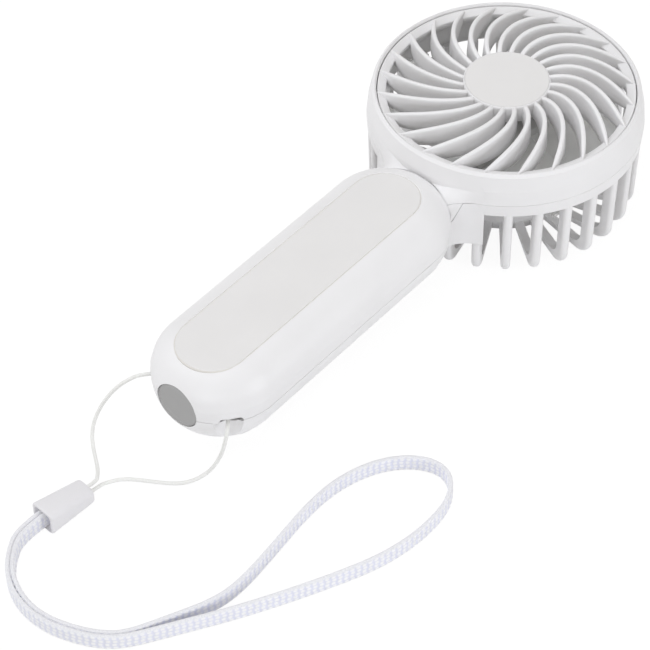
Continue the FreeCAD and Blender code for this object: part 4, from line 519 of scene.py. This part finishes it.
def rib_section(u, foot):
    """One section of a rib, as (sideways, upright): flared flanks under a round crest."""
    past_tip = max(u, 0.0)
    half = RIB_HALF * min(1.0, RIB_TIP_SHARE + RIB_WIDEN * past_tip)
    flare = RIB_FLARE * min(1.0, RIB_FLARE_WIDEN * past_tip)
    middle = FLANGE_OUTER_Z + RIB_CREST_RISE * u + RIB_CREST_BOW * u * (1 - u) - half
    flank = [(half + flare - RIB_FOOT_BEVEL, foot), (half + flare, foot + RIB_FOOT_BEVEL)]
    flank += [(half + flare * (1 - t), foot + (middle - foot) * t) for t in RIB_LEVELS]
    crest = []
    for k in range(CREST_STEPS + 1):
        angle = math.pi * (1 - k / CREST_STEPS)
        crest.append((half * math.cos(angle), middle + half * math.sin(angle)))
    return [(-s, z) for s, z in flank] + crest + flank[::-1]


def rib_rows(turn):
    """Sections along one rib, square to its centreline."""
    rows = []
    for i in range(RIB_STEPS + 1):
        u = RIB_TIP_U + (1 - RIB_TIP_U) * (i / RIB_STEPS) ** RIB_CROWD
        spot, radius = rib_spot(u, turn)
        ahead, _ = rib_spot(u + 0.01, turn)
        along = (ahead - spot).normalized()
        side = Vector((-along.y, along.x, 0))
        section = rib_section(u, rib_foot(radius))
        rows.append([(spot + side * s + UP * z) * MM for s, z in section])
    return rows


def turned_rows(line, steps=180):
    """A (radius, height) line turned once round the head's axis."""
    rows = []
    for i in range(steps + 1):
        angle = 2 * math.pi * i / steps
        rows.append([mm(r * math.cos(angle), r * math.sin(angle), z) for r, z in line])
    return rows


def joined(name, meshes):
    """One mesh out of several."""
    vertices, faces = [], []
    for mesh in meshes:
        first = len(vertices)
        vertices += [v.co.copy() for v in mesh.vertices]
        faces += [tuple(first + k for k in polygon.vertices) for polygon in mesh.polygons]
        bpy.data.meshes.remove(mesh)
    whole = bpy.data.meshes.new(name)
    whole.from_pydata(vertices, [], faces)
    whole.polygons.foreach_set("use_smooth", [True] * len(whole.polygons))
    whole.update()
    return whole


def add_grille(looks):
    """Flange, 24 spiral ribs with round crests and the centre boss."""
    meshes = [tube_mesh("ring", turned_rows(FLANGE_LINE), closed_ends=False),
              tube_mesh("boss", turned_rows(BOSS_LINE), closed_ends=False)]
    for k in range(RIB_COUNT):
        turn = math.radians(RIB_TIP_ANGLE + 360.0 / RIB_COUNT * k)
        meshes.append(tube_mesh("rib", rib_rows(turn)))
    grille = link_piece("grille_moulding", joined("grille_moulding", meshes))
    paint(grille, looks["white_grille"])
    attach(grille, "body")
    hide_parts("front_grille")


# ---------------------------------------------------------------- strap
STRING_D = 1.2
TAPE_W = 5.6
TAPE_THICK = 1.45             # more than its solid's, so that its two layers nearly touch
TAPE_EDGE = 0.55              # how far a round edge reaches past the flat faces
TAPE_MID_Z = 3.3
TAPE_FACE_STEPS = 20
TAPE_EDGE_STEPS = 5
TAPE_CELL_LONG = 1.95
TAPE_CELL_HIGH = 1.4
TAPE_CELL_STEPS = 8           # sections of the tape on each cell's length
TAPE_ROW_SHIFT = 0.12         # how far each second row runs ahead, in cells
TAPE_RELIEF = 0.16
TAPE_FACE_LEVEL = 0.6         # the share of the relief that lies under TAPE_THICK
TAPE_ROUND_ACROSS = 0.6       # below 1, a cell is fuller than a sine wave
TAPE_ROUND_ALONG = 0.7
TAPE_SHADE_ACROSS = 0.8
EDGE_GREY_START = 0.6          # from the tape's edge
EDGE_GREY_FULL = 0.2

SLEEVE_LONG = 16.9
SLEEVE_FRONT_W = 7.4          # at the strings
SLEEVE_FRONT_H = 5.85
SLEEVE_REAR_W = 9.1           # at the tape
SLEEVE_REAR_H = 8.35
SLEEVE_EDGE_R = 1.9
SLEEVE_EDGE_LOSS = 0.6        # what an inset section's corners lose of their radius
SLEEVE_LEAST_R = 0.3
SLEEVE_FRONT_R = 0.9          # rounding of its front end and of its rear lip
SLEEVE_LIP_R = 0.5
SLEEVE_WALL = 1.05
SLEEVE_FLOOR = 0.4            # the most that the underside rises at a rounded end
SLEEVE_MOUTH = 2.4            # depth of the mouth for the tape
# From the rear lip into the mouth, as (depth, how much thicker than SLEEVE_WALL).
MOUTH_LINE = [(0.02, -0.1), (0.15, 0.0), (SLEEVE_MOUTH, 0.05)]
SLEEVE_FRONT_X = -12.7        # middle of its front end
SLEEVE_FRONT_Y = -185.6
SLEEVE_ANGLE = -95.8          # direction in which it points, from string to tape
QUARTER_TURN = range(0, 91, 15)       # degrees of the points on each rounded corner

# The cords' routes, from end to end. The strings start at their knots inside the handle and end in
# the sleeve. The tape leaves the sleeve and comes back into it.
STRING_RIGHT = [
    mm(13.3, -150.9, 24.2), mm(17.0, -155.6, 23.4), mm(16.4, -156.1, 19.5), mm(15.3, -156.2, 14.8),
    mm(13.4, -156.8, 9.0), mm(11.1, -158.2, 4.0), mm(8.5, -161.4, 1.2), mm(5.6, -165.3, 0.75),
    mm(0.6, -168.8, 0.75), mm(-4.6, -171.7, 0.75), mm(-9.1, -174.8, 0.75), mm(-11.2, -178.3, 0.9),
    mm(-11.9, -181.2, 1.7), mm(-12.1, -187.8, 2.2)]
STRING_LEFT = [
    mm(-13.3, -150.9, 24.2), mm(-17.6, -155.5, 24.4), mm(-19.9, -157.6, 22.6), mm(-22.1, -159.9, 20.4),
    mm(-24.5, -162.0, 16.6), mm(-26.4, -164.5, 11.9), mm(-27.2, -166.9, 7.4), mm(-26.4, -169.3, 3.6),
    mm(-24.2, -171.4, 1.4), mm(-20.8, -173.9, 0.75), mm(-17.5, -176.4, 0.75), mm(-14.5, -179.4, 2.1),
    mm(-12.2, -182.5, 3.9), mm(-13.4, -187.8, 3.9)]
TAPE = [
    mm(-15.6, -200.3), mm(-16.55, -210.6), mm(-12.8, -217.75), mm(-7.7, -223.55),
    mm(-1.2, -227.4), mm(6.3, -229.1), mm(14.0, -228.8), mm(21.2, -226.7),
    mm(28.2, -223.5), mm(34.0, -218.6), mm(41.5, -206.7), mm(50.1, -193.3),
    mm(57.4, -180.3), mm(64.5, -166.4), mm(70.8, -152.3), mm(73.7, -139.3),
    mm(73.8, -127.1), mm(71.6, -119.8), mm(67.7, -115.2), mm(62.7, -113.7),
    mm(56.9, -115.4), mm(50.8, -120.4), mm(45.9, -128.3), mm(42.8, -139.4),
    mm(42.7, -152.3), mm(44.5, -167.8), mm(45.9, -182.9), mm(44.7, -193.3),
    mm(39.0, -205.4), mm(33.0, -217.7), mm(27.4, -222.2), mm(20.7, -225.3),
    mm(13.7, -227.3), mm(6.5, -227.7), mm(-0.5, -225.95), mm(-6.9, -222.35),
    mm(-11.75, -217.0), mm(-15.15, -210.35), mm(-14.15, -200.3)]


def spline_object(name, points, bevel=0.0):
    """A curve of one NURBS spline with a route's points as its control points."""
    data = bpy.data.curves.new(name, "CURVE")
    data.dimensions = "3D"
    data.resolution_u = 16
    data.bevel_depth = bevel
    data.bevel_resolution = 4
    data.use_fill_caps = True
    spline = data.splines.new("NURBS")
    spline.points.add(len(points) - 1)
    for spot, point in zip(spline.points, points):
        spot.co = (*point, 1)
    spline.order_u = 3
    spline.use_endpoint_u = True
    piece = bpy.data.objects.new(name, data)
    bpy.context.scene.collection.objects.link(piece)
    return piece


def spline_points(points):
    """Points on a route's smooth line, as its spline gives them."""
    piece = spline_object("route", points)
    bpy.context.view_layer.update()
    mesh = bpy.data.meshes.new_from_object(piece.evaluated_get(bpy.context.evaluated_depsgraph_get()))
    line = [v.co.copy() for v in mesh.vertices]
    bpy.data.objects.remove(piece)
    return line


def length_of(line):
    return sum((b - a).length for a, b in zip(line, line[1:]))


def string_branch(name, points, look):
    """One half of the string loop, from its knot in the handle to the sleeve."""
    piece = spline_object(name, points, STRING_D / 2 * MM)
    piece.data.materials.append(look.material)
    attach(piece, "body")
    length_of(spline_points(points))
    return piece


def tape_section():
    """Half-round edges and flat faces: (sideways, upright, face) round the tape, in millimetres."""
    half = TAPE_THICK / 2
    flat = TAPE_W / 2 - TAPE_EDGE
    points = []
    for side in (1, -1):
        for i in range(TAPE_FACE_STEPS + 1):
            upright = -flat + 2 * flat * i / TAPE_FACE_STEPS
            points.append((side * half, side * upright, side))
        for i in range(1, TAPE_EDGE_STEPS):
            angle = math.pi * i / TAPE_EDGE_STEPS
            upright = flat + TAPE_EDGE * math.sin(angle)
            points.append((side * half * math.cos(angle), side * upright, 0))
    return points


def weave_height(along, upright):
    """Relief of the weave, 0 to 1: plump cells in rows, each second row a little ahead."""
    row = (upright + TAPE_W / 2) / TAPE_CELL_HIGH
    across = math.sin(math.pi * (row % 1.0))
    shift = TAPE_ROW_SHIFT * (math.floor(row) % 2)
    lengthwise = math.cos(2 * math.pi * (along / TAPE_CELL_LONG + shift))
    return across ** TAPE_ROUND_ACROSS * (0.5 + 0.5 * lengthwise) ** TAPE_ROUND_ALONG


def evenly(line, step):
    """The line again, as points about step apart."""
    total = length_of(line)
    count = max(2, round(total / step))
    points, walked, i = [line[0].copy()], 0.0, 0
    for k in range(1, count):
        goal = total * k / count
        while walked + (line[i + 1] - line[i]).length < goal:
            walked += (line[i + 1] - line[i]).length
            i += 1
        run = line[i + 1] - line[i]
        points.append(line[i] + run * ((goal - walked) / run.length))
    return points + [line[-1].copy()]


def swept_tape(name, route):
    """The tape on edge along its route, with the weave's relief in the mesh."""
    section = tape_section()
    count = len(section)
    line = evenly(route, TAPE_CELL_LONG / TAPE_CELL_STEPS * MM)
    rows, along = [], [0.0]
    for i, spot in enumerate(line):
        ahead = line[min(i + 1, len(line) - 1)]
        behind = line[max(i - 1, 0)]
        side = (ahead - behind).normalized().cross(UP).normalized()
        if i:
            along.append(along[-1] + (spot - line[i - 1]).length / MM)
        row = []
        for s, u, face in section:
            relief = face * (weave_height(along[-1], u) - TAPE_FACE_LEVEL) * TAPE_RELIEF
            row.append(spot + side * ((s + relief) * MM) + UP * (u * MM))
        rows.append(row)
    uvs = []
    for start, end in zip(along, along[1:]):
        for k in range(count):
            low, high = section[k][1], section[(k + 1) % count][1]
            uvs += [(start, low), (start, high), (end, high), (end, low)]
    both_ends = [(0.0, 0.0)] * (2 * count)
    return link_piece(name, tube_mesh(name, rows, uvs=uvs + both_ends))


def round_corners(width, low, high, radius):
    """A rectangle with round corners, as (sideways, upright) in millimetres."""
    points = []
    for side, up, start in ((1, 1, 0), (-1, 1, 90), (-1, -1, 180), (1, -1, 270)):
        x = side * (width / 2 - radius)
        z = high - radius if up > 0 else low + radius
        for step in QUARTER_TURN:
            angle = math.radians(start + step)
            points.append((x + radius * math.cos(angle), z + radius * math.sin(angle)))
    return points


def sleeve_stations():
    """Where the sleeve's sections stand, as (distance from its front end, inset)."""
    stations = []
    for step in QUARTER_TURN:
        turn = math.radians(step)
        stations.append((SLEEVE_FRONT_R * (1 - math.cos(turn)), SLEEVE_FRONT_R * (1 - math.sin(turn))))
    for step in QUARTER_TURN:
        turn = math.radians(90 - step)
        far = SLEEVE_LONG - SLEEVE_LIP_R * (1 - math.cos(turn))
        stations.append((far, SLEEVE_LIP_R * (1 - math.sin(turn))))
    return stations + [(SLEEVE_LONG - deep, SLEEVE_WALL + more) for deep, more in MOUTH_LINE]


def add_sleeve(looks):
    """The tapered sleeve: soft corners, rounded ends and a lip round the mouth for the tape."""
    angle = math.radians(SLEEVE_ANGLE)
    along = mm(math.cos(angle), math.sin(angle))          # one millimetre that way
    side = mm(-math.sin(angle), math.cos(angle))
    front = mm(SLEEVE_FRONT_X, SLEEVE_FRONT_Y)
    rows = []
    for far, inset in sleeve_stations():
        part = far / SLEEVE_LONG
        width = SLEEVE_FRONT_W + (SLEEVE_REAR_W - SLEEVE_FRONT_W) * part - 2 * inset
        high = SLEEVE_FRONT_H + (SLEEVE_REAR_H - SLEEVE_FRONT_H) * part - inset
        radius = max(SLEEVE_LEAST_R, SLEEVE_EDGE_R - SLEEVE_EDGE_LOSS * inset)
        outline = round_corners(width, min(inset, SLEEVE_FLOOR), high, radius)
        rows.append([front + along * far + side * s + UP * (z * MM) for s, z in outline])
    sleeve = link_piece("sleeve_moulding", tube_mesh("sleeve_moulding", rows))
    paint(sleeve, looks["sleeve_white"])
    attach(sleeve, "body")
    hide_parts("strap_sleeve")
    return sleeve


def add_strap(looks):
    sleeve = add_sleeve(looks)
    right = string_branch("string_right", STRING_RIGHT, looks["strap_cloth"])
    left = string_branch("string_left", STRING_LEFT, looks["strap_cloth"])
    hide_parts("strap_string")
    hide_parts("strap_string")
    line = [p + UP * TAPE_MID_Z * MM for p in spline_points(TAPE)]
    tape = swept_tape("wrist_tape", line)
    paint(tape, tape_weave())
    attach(tape, "body")
    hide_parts("wrist_strap")


# ---------------------------------------------------------------- the whole scene
def main():
    add_camera()
    add_world()
    add_floor()
    looks = make_looks()
    dress_cad_nodes(looks)
    add_bead(looks)
    add_grille(looks)
    add_strap(looks)
    for lamp in LAMPS:
        add_lamp(*lamp)
    bpy.context.scene.view_settings.view_transform = "Standard"


main()
